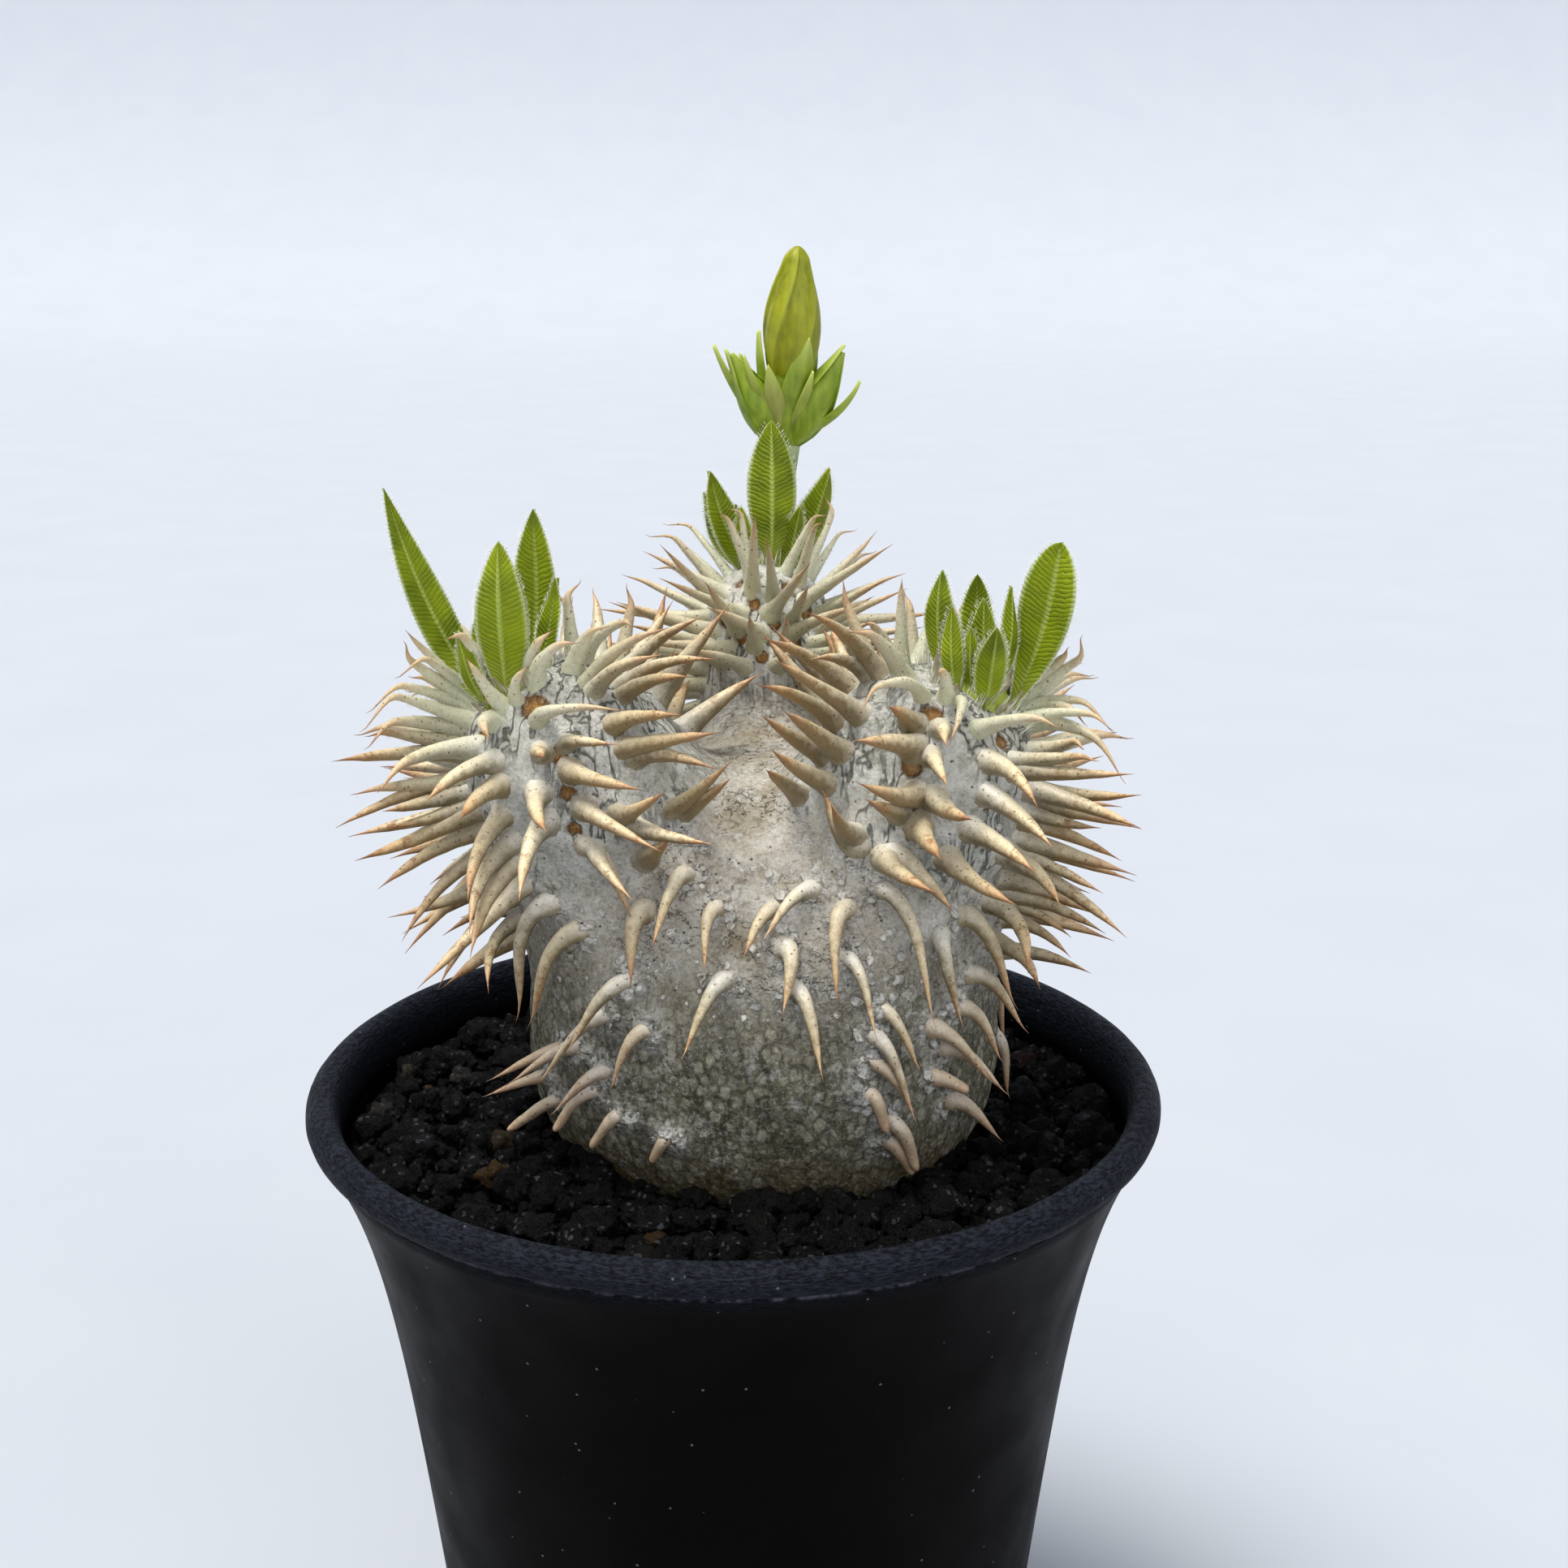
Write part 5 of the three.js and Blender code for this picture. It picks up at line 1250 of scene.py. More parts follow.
def pot_profile():
    """Radii and heights: along the underside, up the outside, over the rim and down inside."""
    foot = wall_radius(0.0)
    floor = FLOOR_Z + FLOOR_THICK
    outside_z = np.concatenate([[0.25, 0.8], np.linspace(1.6, RIM_Z - 2.6, 46)])
    inside_z = np.linspace(RIM_Z - 1.5, floor + 1.2, 30)
    profile = [(1.0, FLOOR_Z), (foot - FOOT_RING, FLOOR_Z), (foot - FOOT_RING, 0.4)]
    profile += [(foot - FOOT_RING + 0.4, 0), (foot - 0.35, 0), (foot - 0.1, 0.08)]
    profile += [(wall_radius(z), z) for z in outside_z]
    profile += [(RIM_RADIUS - inward, RIM_Z + up) for inward, up in RIM_SECTION]
    profile += [(min(wall_radius(z) - WALL, RIM_RADIUS - 4), z) for z in inside_z]
    return profile + [(wall_radius(5.0) - WALL - 1.2, floor), (1.0, floor)]


def foot_cutters():
    """Solids that cut the drain holes and the notches through the foot ring."""
    upright = np.array([[0, 0, FLOOR_Z - 4], [0, 0, FLOOR_Z + 6]])
    holes = [(0, 0, MIDDLE_HOLE)]
    for a in np.arange(RING_HOLES) * 2 * math.pi / RING_HOLES:
        holes.append((HOLE_RING * math.cos(a), HOLE_RING * math.sin(a), RING_HOLE))
    cutters = []
    for x, y, r in holes:
        cutters.append(cutter_of(sweep(upright + vec(x, y, 0), [r, r], 32, vec(1, 0, 0))))
    for i in range(NOTCHES):
        a = math.radians(45 + 360 / NOTCHES * i)
        out = vec(math.cos(a), math.sin(a), 0)
        side = vec(-math.sin(a), math.cos(a), 0) * NOTCH_HALF
        corners = [(-6, -1), (6, -1), (6, 1), (-6, 1)]
        box = np.array([out * (wall_radius(0.0) + d) + side * w - UP for d, w in corners])
        cutters.append(cutter_of(np.array([box, box + UP * (1 + NOTCH_TOP)])))
    return cutters


def make_pot():
    points, faces = round_body(pot_profile(), POT_SIDES)
    radius = np.hypot(points[:, 0], points[:, 1])
    lip = smooth(points[:, 2], RIM_Z - 3.4, RIM_Z - 1.6) * smooth(radius, 46.5, 48.2)
    ripple = noise(points * vec(1, 1, 3.5), 2.4, 3) * 0.05 + noise(points, 14, 4) * 0.06
    outward = unit(points * vec(1, 1, 0))
    points = points - outward * (lip * (0.08 + ripple))[:, None]
    under = np.exp(-(((points[:, 2] - (RIM_Z - 2.05)) / 0.22) ** 2)) * smooth(radius, 50, 50.4)
    net = Net()
    net.add(points, faces, lip=lip, under=under)
    pot = net.piece("pot_shell", pot_material(), "pot")
    cut_holes(pot, foot_cutters())


def spread(pitch, radius, salt):
    """Places a pitch apart over the soil, moved off their rows by seeded draws."""
    count = int(radius / pitch) + 2
    rows = range(-count, count + 1)
    places = np.array([((i + 0.5 * (j % 2)) * pitch, j * pitch * 0.866) for i in rows for j in rows])
    n = np.arange(len(places)) + salt
    places = places + pitch * 0.9 * jitters(n, 0, 0.37)
    at = np.column_stack([places, np.full(len(places), SOIL_Z + 0.5)])
    keep = (np.hypot(places[:, 0], places[:, 1]) < radius) & (skin_distance(at) > -0.4)
    return places[keep], n[keep]


def soil_height(x, y):
    edge = wall_radius(SOIL_Z) - WALL
    return SOIL_Z + HEAP * (1 - np.hypot(x, y) / edge)


def grains(name, places, numbers, sizes, parts, lift, sunk, pale=0, bit=0):
    """Irregular crumbs, one at each place, in nets of this many parts.

    lift raises them by up to a share of their size, and sunk lowers them all.
    """
    directions, triangles = ball_net(parts)
    count = len(places)
    size = sizes[0] + (sizes[1] - sizes[0]) * chance(numbers + 0.11) ** 1.6
    stretch = 0.72 + 0.5 * np.stack([chance(numbers + 0.21 + k) for k in range(3)], axis=-1)
    body = directions[None] * stretch[:, None]
    offset = chance(numbers + 0.5)[:, None, None] * 97
    lumps = 0.4 * noise(directions[None] + offset, 0.7, 7)
    lumps = lumps + 0.3 * noise(directions[None] + offset, 0.28, 8)
    body = body * (1 + lumps)[..., None]
    spin = chance(numbers + 0.7) * 2 * math.pi
    c = np.cos(spin)[:, None]
    s = np.sin(spin)[:, None]
    x = body[..., 0] * c - body[..., 1] * s
    y = body[..., 0] * s + body[..., 1] * c
    body = np.stack([x, y, body[..., 2] * 0.85], axis=-1) * (size / 2)[:, None, None]
    reach = np.hypot(places[:, 0], places[:, 1])
    inside = np.minimum(1, (wall_radius(SOIL_Z) - WALL - 0.62 * size) / np.maximum(reach, 1))
    places = places * inside[:, None]
    z = soil_height(places[:, 0], places[:, 1]) + size * lift * chance(numbers + 0.9) - sunk
    middle = np.column_stack([places, z])
    points = (middle[:, None] + body).reshape(-1, 3)
    faces = (np.arange(count)[:, None, None] * len(directions) + triangles).reshape(-1, 3)
    shade = np.repeat(chance(numbers + 0.33), len(directions))
    pale = np.repeat(np.broadcast_to(pale, count), len(directions))
    bit = np.repeat(np.broadcast_to(bit, count), len(directions))
    net = Net()
    net.add(points, [faces], shade=shade, pale=pale, bit=bit)
    return net.piece(name, SOIL, "soil")


def make_soil():
    edge = wall_radius(SOIL_Z) - WALL - CLEAR_AIR
    bottom = FLOOR_Z + FLOOR_THICK + CLEAR_AIR
    sides_z = np.linspace(bottom, SOIL_Z - 0.5, 8)
    profile = [(2, bottom)] + [(wall_radius(z) - WALL - CLEAR_AIR, z) for z in sides_z]
    profile += [(r, SOIL_Z) for r in np.linspace(edge, 2, 70)]
    points, faces = round_body(profile, SOIL_SIDES)
    top = points[:, 2] > SOIL_Z - 0.1
    heaped = soil_height(points[:, 0], points[:, 1]) - BED_SUNK
    heaped = heaped + 0.35 * noise(points, 1.3, 11) + 0.3 * noise(points, 2.9, 12)
    points[:, 2] = np.where(top, heaped, points[:, 2])
    net = Net()
    net.add(points, faces, shade=0.25 + 0.2 * noise(points, 2.0, 13), pale=0, bit=0)
    net.piece("soil_bed", SOIL, "soil")
    places, numbers = spread(3.3, edge - 1.4, 100)
    grains("soil_coarse_grains", places, numbers, (1.8, 4.8), 6, 0.5, 0.5)
    places, numbers = spread(1.75, edge - 0.6, 20000)
    pale = 0.8 * (chance(numbers + 0.77) < 0.006)
    grains("soil_fine_grains", places, numbers, (0.9, 2.2), 2, 0.5, 1.1, pale, 0.6)
    stones = np.array(STONES)
    numbers = np.arange(len(stones)) + 40000.0
    grains("soil_stones", stones[:, :2], numbers, (2.4, 3.4), 8, 0.3, -0.6, 0.7, stones[:, 2])


def waves(points):
    """The slow rise and fall of the bark."""
    return 0.5 * noise(points, 13, 41) + 0.3 * noise(points, 5, 42) + 0.1 * noise(points, 1.1, 43)


def knuckles(points, spines):
    """How far the bark swells under the spines."""
    swell = np.zeros(len(points))
    for s in spines:
        away = np.linalg.norm(points - s["base"], axis=1)
        width, height = (1.5, 0.8) if s["arm"] == BARREL else (2.5, 1.25)
        swell = np.maximum(swell, height * np.exp(-((away / width) ** 2)))
    return swell


def pale_height(points):
    """0 on the olive cobbles low down, 1 on the pale bark higher up."""
    return smooth(points[:, 2], RIM_Z + 9, RIM_Z + 32)


def make_flakes(spines, material):
    """Thin torn scales of bark, each lifting at one side."""
    barrel = [s for s in spines if s["arm"] == BARREL]
    places = []
    for s in barrel:
        n = s["seed"] * 31.0 + np.arange(COLLAR_FLAKES)
        normal = skin_normal(s["base"])
        side = unit(np.cross(normal, UP))
        turn = 2 * math.pi * chance(n + 0.1)[:, None]
        around = side * np.cos(turn) + np.cross(side, normal) * np.sin(turn)
        places.append(s["base"] + around * (0.6 * s["radius"] + 1.5 * chance(n + 0.2))[:, None])
    n = np.arange(LOOSE_FLAKES) + 900000.0
    aims = zip(360 * chance(n + 0.1), 35 + 37 * chance(n + 0.2))
    directions = np.array([heading(azimuth, tilt) for azimuth, tilt in aims])
    places.append(BODY_MIDDLE + directions * way_out(BODY_MIDDLE, directions)[:, None])
    places = settle(np.concatenate(places), 3)
    n = np.arange(len(places)) + 70000.0
    normal = skin_normal(places)
    side = unit(np.cross(normal, jitters(n, 0.3, 0.4, 0.5)))
    other = np.cross(normal, side)
    size = FLAKE_SIZES[0] + (FLAKE_SIZES[1] - FLAKE_SIZES[0]) * chance(n + 0.6) ** 2.2
    turn = np.linspace(0, 2 * math.pi, FLAKE_SIDES, endpoint=False)
    spokes = side[:, None] * np.cos(turn)[:, None] + other[:, None] * np.sin(turn)[:, None]
    ragged = 0.4 + 0.65 * chance(n[:, None] * 7 + np.arange(FLAKE_SIDES) + 0.7)
    outline = spokes * (0.5 * size[:, None] * ragged)[..., None]
    lift = 0.05 + 0.15 * size[:, None] * (1 + np.cos(turn))
    rings = []
    for share, height, curl in ((0.5, -0.4, 0), (1, 0, 1), (0.75, 0.05, 0.6)):
        ring = settle((places[:, None] + outline * share).reshape(-1, 3), 2)
        raised = waves(ring) + knuckles(ring, barrel) + height + curl * lift.reshape(-1)
        ring = ring + skin_normal(ring) * raised[:, None]
        rings.append(ring.reshape(len(places), FLAKE_SIDES, 3))
    rings = np.stack(rings, axis=1)
    _, faces = tube(rings[0])
    ends = rings[:, [0, -1]].mean(axis=2)
    points = np.concatenate([rings.reshape(len(places), -1, 3), ends], axis=1)
    start = np.arange(len(places))[:, None, None] * points.shape[1]
    faces = [(start + face).reshape(-1, face.shape[1]) for face in faces]
    points = points.reshape(-1, 3)
    level = points[:, 2] - SOIL_Z
    high = pale_height(points)
    net = Net()
    net.add(points, faces, level=level, high=high, halo=1.8 - high, **PLAIN_BARK)
    net.piece("bark_scales", material, "caudex")


def crown_share(points):
    """1 on the arms' upper parts, 0 further down and on the barrel."""
    cap = np.zeros(len(points))
    for arm in ARMS:
        along = (points - arm["end"]) @ arm["up"]
        away = bar_distance(points, arm["elbow"], arm["end"], *arm["radii"][1:])
        cap = np.maximum(cap, smooth(along, -20, -4) * smooth(-away, -3, 0))
    return cap


def scar_share(points, spines):
    """1 in the leaf scars: those that the photo shows, and one over some pairs near a crown."""
    spots = [(spot, size) for spot, (_, _, size) in zip(SCAR_SPOTS, SCARS)]
    for s in spines:
        if s["scar"] is not None and s["down"] < 12 and s["youth"] < 0.6 and s["seed"] % 2 == 0:
            spots.append((s["scar"] + 1.3 * ARMS[s["arm"]]["up"], 0.9))
    scar = np.zeros(len(points))
    for spot, size in spots:
        reach = np.linalg.norm(points - spot, axis=1) / size
        scar = np.maximum(scar, 1 - smooth(reach, 0.55, 1.15))
    return scar


def add_roots(net):
    for azimuth, slope, length, radius in ROOTS:
        t = np.linspace(0, 1, 14)[:, None]
        middle = ROOT_START + heading(azimuth, 90 + slope) * length * t - UP * 0.15 * length * t * t
        thick = radius * (1 - t[:, 0]) ** 0.8 + 0.1
        points, faces = tube(sweep(middle, thick, 16, vec(0.3, 0.9, 0.1)))
        net.add(points, faces, level=-20, high=0, halo=0, **PLAIN_BARK)


def make_skin(spines):
    """The caudex's skin, raised and marked in the places that its spines give."""
    points, triangles = skin_net()
    normal = skin_normal(points)
    level = points[:, 2] - SOIL_Z
    near = np.full(len(points), 99.0)
    # crowd counts the spines standing over each point; it sets the painted shade among them.
    crowd = np.zeros(len(points))
    for s in spines:
        near = np.minimum(near, np.linalg.norm(points - s["base"], axis=1))
        over = s["base"] + 4.5 * unit(s["direction"])
        crowd += np.exp(-(((points - over) ** 2).sum(axis=1) / 4.2**2))
    high = pale_height(points)
    cap = crown_share(points)
    first, second = cells(points * vec(1, 1, 0.7), 2.7, 21)
    gap = 1 - smooth(second - first, 0.02, 0.3)
    crack = cap * smooth(noise(points, 5, 33), -0.45, 0.1)
    scar = scar_share(points, spines)
    bark = (1 - 0.6 * high) * (1 - 0.8 * cap)
    raised = waves(points) + knuckles(points, spines) - 0.12 * gap * bark - 0.5 * scar
    points = points + normal * raised[:, None]
    net = Net()
    net.add(
        points,
        [triangles],
        level=level,
        high=high,
        halo=np.exp(-((near / 2.3) ** 2)),
        crowd=crowd,
        cap=cap,
        crack=crack,
        scar=scar,
    )
    add_roots(net)
    material = skin_material()
    net.piece("caudex_skin", material, "caudex")
    make_flakes(spines, material)


def add_spine(net, s):
    """A curved horn: flared where it leaves the skin, thinning to a sharp point."""
    draws = [chance(s["seed"] + 3000 + n) for n in range(8)]
    on_barrel = s["arm"] == BARREL
    stub = on_barrel and s["length"] < STUB_LENGTH
    spacing, thinning, flare, flare_length = BARREL_HORN if on_barrel else ARM_HORN
    t = np.linspace(0, 1, HORN_RINGS) ** spacing
    thick = (1 - t) ** thinning * (0.36 + 0.64 * smooth(1 - t, 0, 0.3))
    if stub:
        t = np.sin(np.linspace(0, math.pi / 2, HORN_RINGS))
        thick = (1 - 0.35 * t) * np.sqrt(1 - t**14)
    middle = spine_points(s, t)
    wide = 1 + flare * np.exp(-t * s["length"] / flare_length)
    slim = HORN_WIDTHS[s["arm"]]
    radii = slim * s["radius"] * np.maximum(thick, 0.015) * wide * (0.92 + 0.16 * draws[1])
    across = unit(np.cross(s["direction"], s["bend"]))
    wander = unit(np.cross(s["direction"], across))
    sway = (draws[2] - 0.5) * 0.06 * s["length"]
    middle = middle + wander * (sway * t * t * (1 - t))[:, None]
    if s["youth"] > 0.15:
        curl = s["youth"] * s["length"] * 0.35 * smooth(t, 0.62, 1.0) ** 2
        middle = middle + (across * (draws[3] - 0.5) * 2 - UP * 0.4) * curl[:, None]
    root = middle[0] - unit(s["direction"]) * SPINE_ROOT
    middle = np.concatenate([[root], middle])
    radii = np.concatenate([[radii[0]], radii])
    t = np.concatenate([[0], t])
    points, faces = tube(sweep(middle, radii, HORN_SIDES, across))
    shift = vec(*draws[4:7]) * 90
    lumps = 0.07 * noise(points + shift, 1.1, 51) + 0.09 * noise(points + shift, 3.0, 52)
    inside = np.concatenate([np.repeat(middle, HORN_SIDES, axis=0), middle[[0, -1]]])
    outward = unit(points - inside)
    size = ring_numbers(radii / s["radius"], HORN_SIDES)
    points = points + outward * (lumps * np.minimum(1, 1.5 * size))[:, None]
    net.add(
        points,
        faces,
        # top: how far each point faces up, which picks the painted light and shade.
        top=unit(points - inside) @ UP,
        along=ring_numbers(t * (0.75 if stub else 1), HORN_SIDES),
        seed=draws[7],
        youth=max(s["youth"], BACK_YOUTH) if s["arm"] == BACK_ARM else s["youth"],
        old=0.8 if stub else 0.8 * smooth(RIM_Z + 22 - s["base"][2], 0, 14),
    )


def make_spines(spines):
    material = spine_material()
    for number, name in enumerate(("left", "right", "back", "barrel")):
        net = Net()
        for s in spines:
            if s["arm"] == number:
                add_spine(net, s)
        net.piece("spines_" + name, material, "caudex")
    wool = Net()
    for s in spines:
        if s["youth"] > 0.25 and s["arm"] != BARREL:
            add_spine_wool(wool, s)
    wool.piece("young_spine_down", DOWN, "caudex")


def add_spine_wool(net, s):
    """The short down on a young spine."""
    n = np.arange(int(YOUNG_HAIRS * s["length"]))
    t = 0.02 + 0.7 * chance(s["seed"] + n + 0.5)
    middle = spine_points(s, t)
    side = unit(jitters(s["seed"] + n, 0.1, 0.2, 0.3))
    side = unit(np.cross(side, unit(s["direction"])))
    radius = s["radius"] * HORN_WIDTHS[s["arm"]] * (1 - t) ** 0.76
    out = middle + side * (0.85 * radius)[:, None]
    lean = side + 0.8 * unit(s["direction"])
    hairs(net, out, lean, 0.3 + 0.35 * chance(s["seed"] + n + 0.7), 0.022, UP * 0.1)


def leaf_outline(rows, width, blunt):
    """Half widths up a leaf: widest low down and pointed, or widest high up and blunt."""
    v = np.linspace(0, 1, rows)
    shape = np.sin(np.pi * v ** (0.72 + 0.3 * blunt + 0.6 * blunt**2)) ** (0.95 - 0.35 * blunt)
    foot = 0.2 * (1 - smooth(v, 0.0, 0.3))
    return width / 2 * np.maximum(shape, np.maximum(foot, 0.012))


def add_leaf(leaves, down, arm, row, seed):
    """A leaf with a sunk midrib and wavy edges, and the hairs along its margins."""
    azimuth, tilt, length, width, lean, blunt = row
    outward = turned_up(heading(azimuth, tilt), arm["up"])
    direction = heading(azimuth, lean)
    foot = arm["end"] + outward * (arm["radii"][2] + CORE_HEIGHT * 0.6) - direction * BLADE_SINK
    inward = -heading(azimuth, 90)
    facing = inward + LIGHT_SIDE * (-1.8 if inward @ LIGHT_SIDE < -0.3 else 1.8)
    rows = 60 if length > 12 else 36
    outline = leaf_outline(rows, width * (0.72 if blunt < 0.2 else 0.94), blunt)
    v = np.linspace(0, 1, rows)
    long = length + BLADE_SINK
    curve = -0.04 * long * v * v + 0.3 * np.sin(v * 5 + seed)

    def relief(u, v, side):
        rib = np.exp(-((u / 0.1) ** 2))
        wave = 0.14 * np.sin(v * 11 + seed) * u * u
        return wave - 0.22 * rib * np.where(side > 0, 1, 1.6)

    rings, us, vs = blade(
        foot, direction, facing, long, outline, curve, BLADE_FOLD, 0.6, relief, LEAF_COLUMNS
    )
    rings = rings - inward * (0.045 * long * np.sin(np.pi * v))[:, None, None]
    vein = vs * (VEINS_PER_MM * long) - np.abs(us) * VEIN_SLANT
    vein = np.concatenate([vein.reshape(-1), [0, 0]])
    add_blade(leaves, rings, us, vs, vein=vein, seed=chance(seed))
    across = unit(np.cross(direction, facing))
    n = np.arange(int(MARGIN_HAIRS * long))
    at = 0.04 + 0.94 * chance(seed + 0.1 + n)
    row = np.clip((at * (rows - 1)).astype(int), 0, rows - 1)
    hand = np.where(n % 2 == 0, 1, -1)
    base = np.where((hand > 0)[:, None], rings[row, LEAF_COLUMNS - 1], rings[row, 0])
    away = across * hand[:, None] + direction * (0.5 + chance(seed + 0.2 + n))[:, None]
    away = away + np.cross(across, direction) * (chance(seed + 0.3 + n) - 0.5)[:, None]
    base = base - across * hand[:, None] * 0.05
    hairs(down, base, away, 0.3 + 0.4 * chance(seed + 0.4 + n), 0.024, direction * 0.25)


def add_crown_wool(net, arm, number):
    """Longer hairs all over a crown, clear of the leaf scars."""
    n = np.arange(arm["wool"])
    tilt = 6 + 34 * chance(n + 9000 + 700 * number)
    turn = 360 * chance(n + 9400 + 700 * number)
    outward = np.array([turned_up(heading(a, t), arm["up"]) for a, t in zip(turn, tilt)])
    base = arm["end"] + outward * (arm["radii"][2] + 0.1)
    length = 1.2 + 1.9 * chance(n + 9800)
    lean = outward + 0.7 * jitters(n, 9100, 9200, 9300) + UP * 0.3
    clear = np.linalg.norm(base[:, None] - SCAR_SPOTS, axis=-1).min(axis=1) > 3.2
    hairs(net, base[clear], lean[clear], length[clear], 0.045, arm["up"] * 0.2)


def add_bracts(net, arm, number):
    """Dry bracts round a crown's growing tip."""
    v = np.linspace(0, 1, 14)
    for i in range(arm["bracts"]):
        azimuth = i * GOLDEN_ANGLE + 40 * number
        outward = turned_up(heading(azimuth, 14 + 16 * chance(i + 9900)), arm["up"])
        foot = arm["end"] + outward * (arm["radii"][2] - 0.4)
        aside = 0.3 * heading(azimuth + 90, 90) * (chance(i + 9950) - 0.5)
        direction = unit(outward + UP * 0.5 + aside)
        outline = (0.5 + 0.5 * chance(i + 9970)) * (1 - v) ** 0.7 * (0.7 + 0.6 * v) + 0.03
        curve = 0.9 * v * v * (chance(i + 9980) - 0.2)
        long = 2.6 + 2.4 * chance(i + 9990)
        facing = -outward + 0.01 * UP
        add_blade(net, *blade(foot, direction, facing, long, outline, curve, 0.4, 0.3, None, 7))


def add_growing_tip(net, arm):
    """The low green dome that the leaves come from."""
    t = np.linspace(0, 1, 9)
    radius = arm["radii"][2]
    rise = radius * 0.8 + (0.2 * radius + CORE_HEIGHT * 1.2) * t
    width = radius * 0.44 * np.sqrt(np.clip(1 - t**2.2, 0.001, 1))
    points, faces = tube(sweep(arm["end"] + arm["up"] * rise[:, None], width, 24, vec(0, -1, 0.1)))
    net.add(points, faces, across=0.5, along=0, vein=0, seed=0.9)


def make_tuft(name, number):
    """Leaves, their hairs and the crown's wool and bracts."""
    arm = ARMS[number]
    leaves = Net()
    down = Net()
    bracts = Net()
    for i, row in enumerate(TUFTS[name]):
        add_leaf(leaves, down, arm, row, 8000 + 100 * number + 9 * i)
    add_crown_wool(down, arm, number)
    add_bracts(bracts, arm, number)
    add_growing_tip(leaves, arm)
    leaves.piece("blades_" + name, LEAF, "leaves_" + name)
    down.piece("down_" + name, DOWN, "leaves_" + name)
    bracts.piece("dry_bracts_" + name, DRY, "leaves_" + name)


def eased(values, rounds):
    """A row of numbers with its corners rounded off."""
    for _ in range(rounds):
        values[1:-1] = (values[:-2] + 2 * values[1:-1] + values[2:]) / 4
    return values


def stem(net, foot, tip, shape, sides, reach=0):
    """A round bar from foot to tip whose radius runs through the shape's numbers."""
    t = np.linspace(0, 1, max(12, 6 * len(shape)))
    radii = eased(np.interp(t, np.linspace(0, 1, len(shape)), shape), 3)
    points, faces = tube(sweep(foot + (tip - foot) * t[:, None], radii, sides, vec(0.2, -1, 0.05)))
    points = points + 0.06 * noise(points, 1.5, 61)[:, None] * unit(points - foot)
    net.add(points, faces, along=ring_numbers(t, sides) * reach, across=0, dry=0)


def sepal_outline(half_width):
    """Half widths up a sepal: broad at the foot, with a drawn-out tip."""
    v = np.linspace(0, 1, SEPAL_ROWS)
    shape = np.sin(np.pi * (0.1 + 0.9 * v) ** 0.85) ** 0.8
    return half_width * np.maximum(shape, 0.02)


def add_sepals(net):
    """The sepals and bracts on the stalk's node, two of them curling over."""
    v = np.linspace(0, 1, SEPAL_ROWS)
    for number, (*ends, width, dry) in enumerate(NODE_BLADES):
        start = above(*ends[:3])
        direction = above(*ends[3:]) - start
        length = np.linalg.norm(direction)
        curl = (0.9 if number == 7 else 0.25) * v**4 * (1.5 if number in (6, 7) else 0.6)
        curve = -0.5 * np.sin(np.pi * v) + curl
        inward = unit((STALK_NODE - start) * vec(1, 1, 0))
        outline = sepal_outline(width / 2)
        rings = blade(start, unit(direction), inward, length, outline, -curve, 0.45, 0.5, None, 13)
        add_blade(net, *rings, dry=dry)


def add_side_bud(net, tip, radius):
    """A closed side bud with three sepals that hug it."""
    along = tip - STALK_NODE
    foot = STALK_NODE + along * SIDE_BUD_START
    stem(net, STALK_NODE, foot + along * 0.1, [1.2, 1.25], 16)
    stem(net, foot, tip, [radius * share * 0.98 for share in SIDE_BUD_SHAPE], 28, reach=0.75)
    upright = unit(along)
    v = np.linspace(0, 1, SEPAL_ROWS)
    shape = np.interp(v, np.linspace(0, 1, len(SIDE_BUD_SHAPE)), SIDE_BUD_SHAPE)
    hug = radius * (shape - 0.42) + 0.35 * v**3
    outline = sepal_outline(radius * 0.95)
    for i in range(3):
        outward = turned_up(heading(120 * i + 25, 90), upright)
        start = foot + outward * radius * 0.3
        long = np.linalg.norm(along) * (0.84 + 0.06 * i)
        rings = blade(start, upright, -outward, long, outline, hug, 0.42, 0.45, None, 13)
        add_blade(net, *rings, dry=0)


def add_rolled_petals(net, axis):
    """The main bud: petals rolled round each other, each with its free edge over the next."""
    foot = STALK_NODE + axis * BUD_SEAT
    length = np.linalg.norm(BUD_TIP - foot) - 0.1
    rows = 60
    sides = 80
    t = np.sin(np.linspace(0, math.pi / 2, rows))
    profile = eased(np.interp(t, np.linspace(0, 1, len(BUD_SHAPE)), BUD_SHAPE), 6)
    profile = profile * np.sqrt(np.clip(1 - np.clip((t - 0.9) / 0.1, 0, 1) ** 2, 0.0004, 1))
    turn = np.linspace(0, 2 * math.pi, sides, endpoint=False)
    saw = np.broadcast_to(turn * BUD_PETALS / (2 * math.pi) % 1, (rows, sides))
    ridge = 0.87 + 0.13 * smooth(saw, 0, 0.7) * (1 - smooth(saw, 0.93, 1.0))
    angle = turn + math.radians(BUD_TWIST) * t[:, None]
    r = (BUD_RADIUS * profile[:, None] * ridge)[..., None]
    side = unit(np.cross(UP, axis) + vec(1e-6, 0, 0))
    other = np.cross(axis, side)
    spokes = np.cos(angle)[..., None] * side + np.sin(angle)[..., None] * other
    points, faces = tube(foot + r * spokes + (t * length)[:, None, None] * axis)
    net.add(points, faces, along=0, fold=np.concatenate([saw.reshape(-1), [0, 0]]), dry=0)


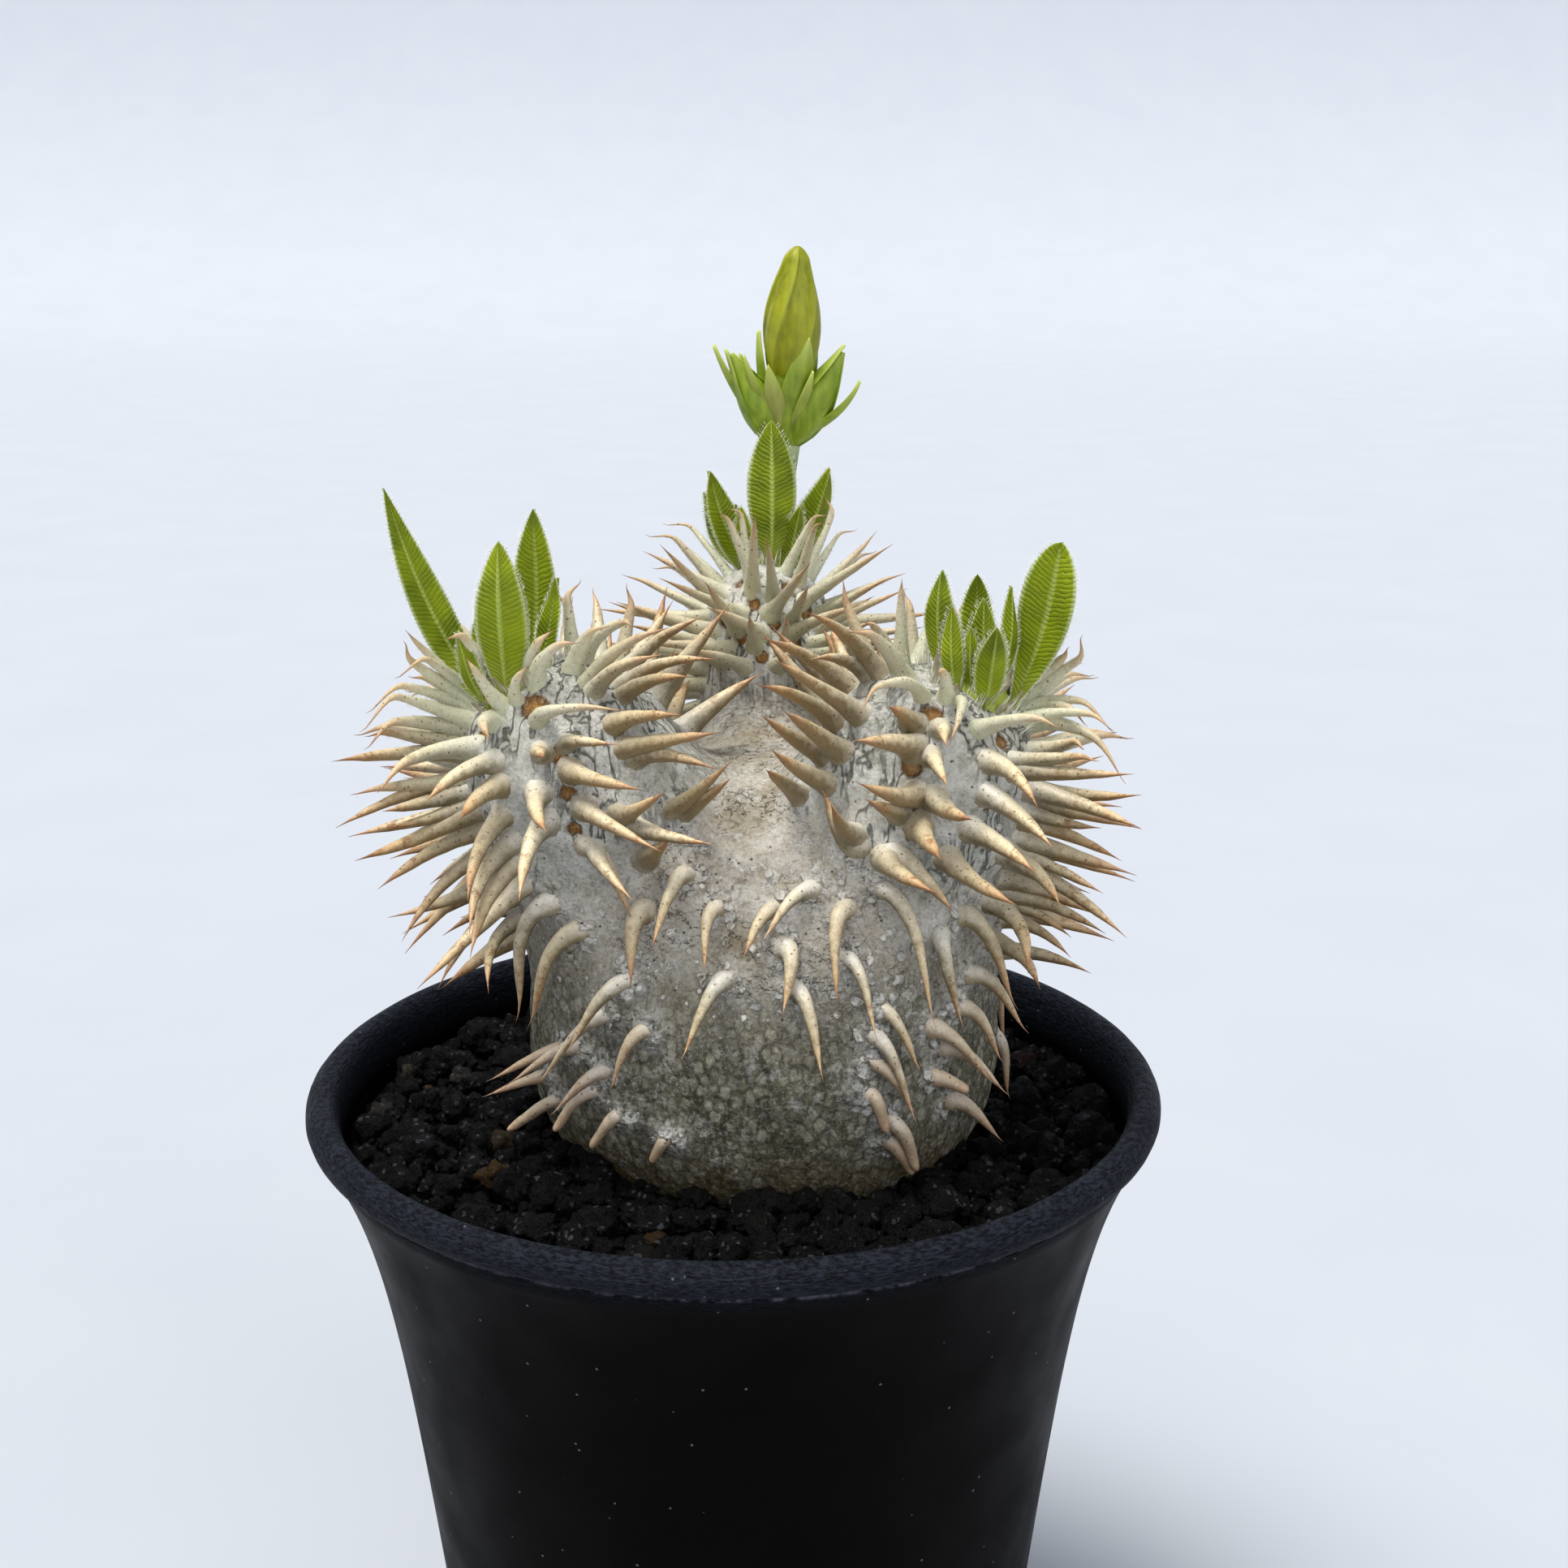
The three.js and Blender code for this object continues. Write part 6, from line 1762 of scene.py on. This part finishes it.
def make_flower():
    axis = unit(BUD_TIP - STALK_NODE)
    stalk = Net()
    green = Net()
    petals = Net()
    down = Net()
    stem(stalk, STALK_FOOT, STALK_NODE + axis, STALK_SHAPE, 28)
    stem(green, STALK_NODE, STALK_NODE + axis * CUP_LENGTH, CUP_SHAPE, 28)
    n = np.arange(STALK_HAIRS)
    turn = 2 * math.pi * chance(n + 7500)
    side = np.stack([np.cos(turn), np.sin(turn), 0 * turn], axis=-1)
    base = STALK_FOOT + (STALK_NODE - STALK_FOOT) * chance(n + 7000)[:, None] + side * 1.5
    hairs(down, base, side + UP * 0.3, 0.3 + 0.35 * chance(n + 7900), 0.025, UP * 0.2)
    add_sepals(green)
    for tip, radius in SIDE_BUDS:
        add_side_bud(green, tip, radius)
    add_rolled_petals(petals, axis)
    stalk.piece("flower_stem", STALK, "flower_stalk")
    green.piece("flower_sepals", SEPAL, "flower_stalk")
    down.piece("flower_down", DOWN, "flower_stalk")
    petals.piece("flower_petals", PETAL, "flower_bud")


SOIL = soil_material()
LEAF = leaf_material()
DOWN = down_material()
# Bracts, dried on the plant: thin, dull and papery grey-brown.
DRY = green_material("bracts_dried", "8d8570", "b9b3a0", "6e5a44", 0.8)
# Flower stalk, grown: greyish green, soft and hardly glossy.
STALK = green_material("flower_stalk_grown", "8c9a62", "aab588", "98a56e", 0.6)
# Sepals, grown: fresh green that pales towards the tips.
SEPAL = green_material("sepals_grown", "5f7a10", "93a62a", "bcc664", 0.5)
# Petals, rolled in the bud: yellow-green with a satin face and painted shade in the folds.
PETAL = green_material("petals_rolled_in_bud", "677002", "9c9c0e", "b4b832", 0.45)

SCAR_SPOTS = np.array([skin_on(sight(x, height)) for x, height, _ in SCARS])
all_spines = [s for i, arm in enumerate(ARMS) for s in arm_spines(arm, i)] + listed_spines()
make_pot()
make_soil()
make_skin(all_spines)
make_spines(all_spines)
for number, name in enumerate(TUFTS):
    make_tuft(name, number)
make_flower()


# The studio


def make_floor():
    """A pale floor that turns up far behind the pot."""
    mesh = bpy.data.meshes.new("floor")
    turns = np.linspace(0, math.pi / 2, 13)
    curve = [(2.6 + 1.2 * math.sin(a), 1.2 - 1.2 * math.cos(a)) for a in turns]
    line = [(-FLOOR_HALF, 0.0), *curve, (3.8, 5.0)]
    corners = [(x, y, z) for y, z in line for x in (-FLOOR_HALF, FLOOR_HALF)]
    faces = [(2 * i, 2 * i + 1, 2 * i + 3, 2 * i + 2) for i in range(len(line) - 1)]
    mesh.from_pydata(corners, [], faces)
    mesh.shade_smooth()
    mesh.materials.append(paper_material())
    floor = bpy.data.objects.new("floor", mesh)
    bpy.context.scene.collection.objects.link(floor)


def add_sun(name, source, softness, power, tone):
    """Even light from a direction, softened over so many degrees."""
    data = bpy.data.lights.new(name, "SUN")
    data.angle = math.radians(softness)
    data.energy = power
    data.color = colour(tone)[:3]
    light = bpy.data.objects.new(name, data)
    light.location = source
    light.rotation_euler = (-Vector(source)).to_track_quat("-Z", "Y").to_euler()
    bpy.context.scene.collection.objects.link(light)


make_floor()
add_sun("sky_key", (-0.3, -0.12, 1.0), 30, 3.55, "fffdf8")
add_sun("window_fill", (0.4, -1.0, 0.45), 70, 1.35, "f4f6fb")
scene = bpy.context.scene
scene.view_settings.view_transform = "Standard"
world = scene.world or bpy.data.worlds.new("studio")
scene.world = world
world.use_nodes = True
world.node_tree.nodes["Background"].inputs["Color"].default_value = colour("e9eef4")
world.node_tree.nodes["Background"].inputs["Strength"].default_value = 0.46

data = bpy.data.cameras.new("view")
data.lens = LENS
data.sensor_width = SENSOR
data.clip_start = 0.01
camera = bpy.data.objects.new("view", data)
camera.location = VIEWER * MM
camera.rotation_euler = (math.radians(90 - PITCH_DOWN), 0, 0)
bpy.context.scene.collection.objects.link(camera)
bpy.context.scene.camera = camera
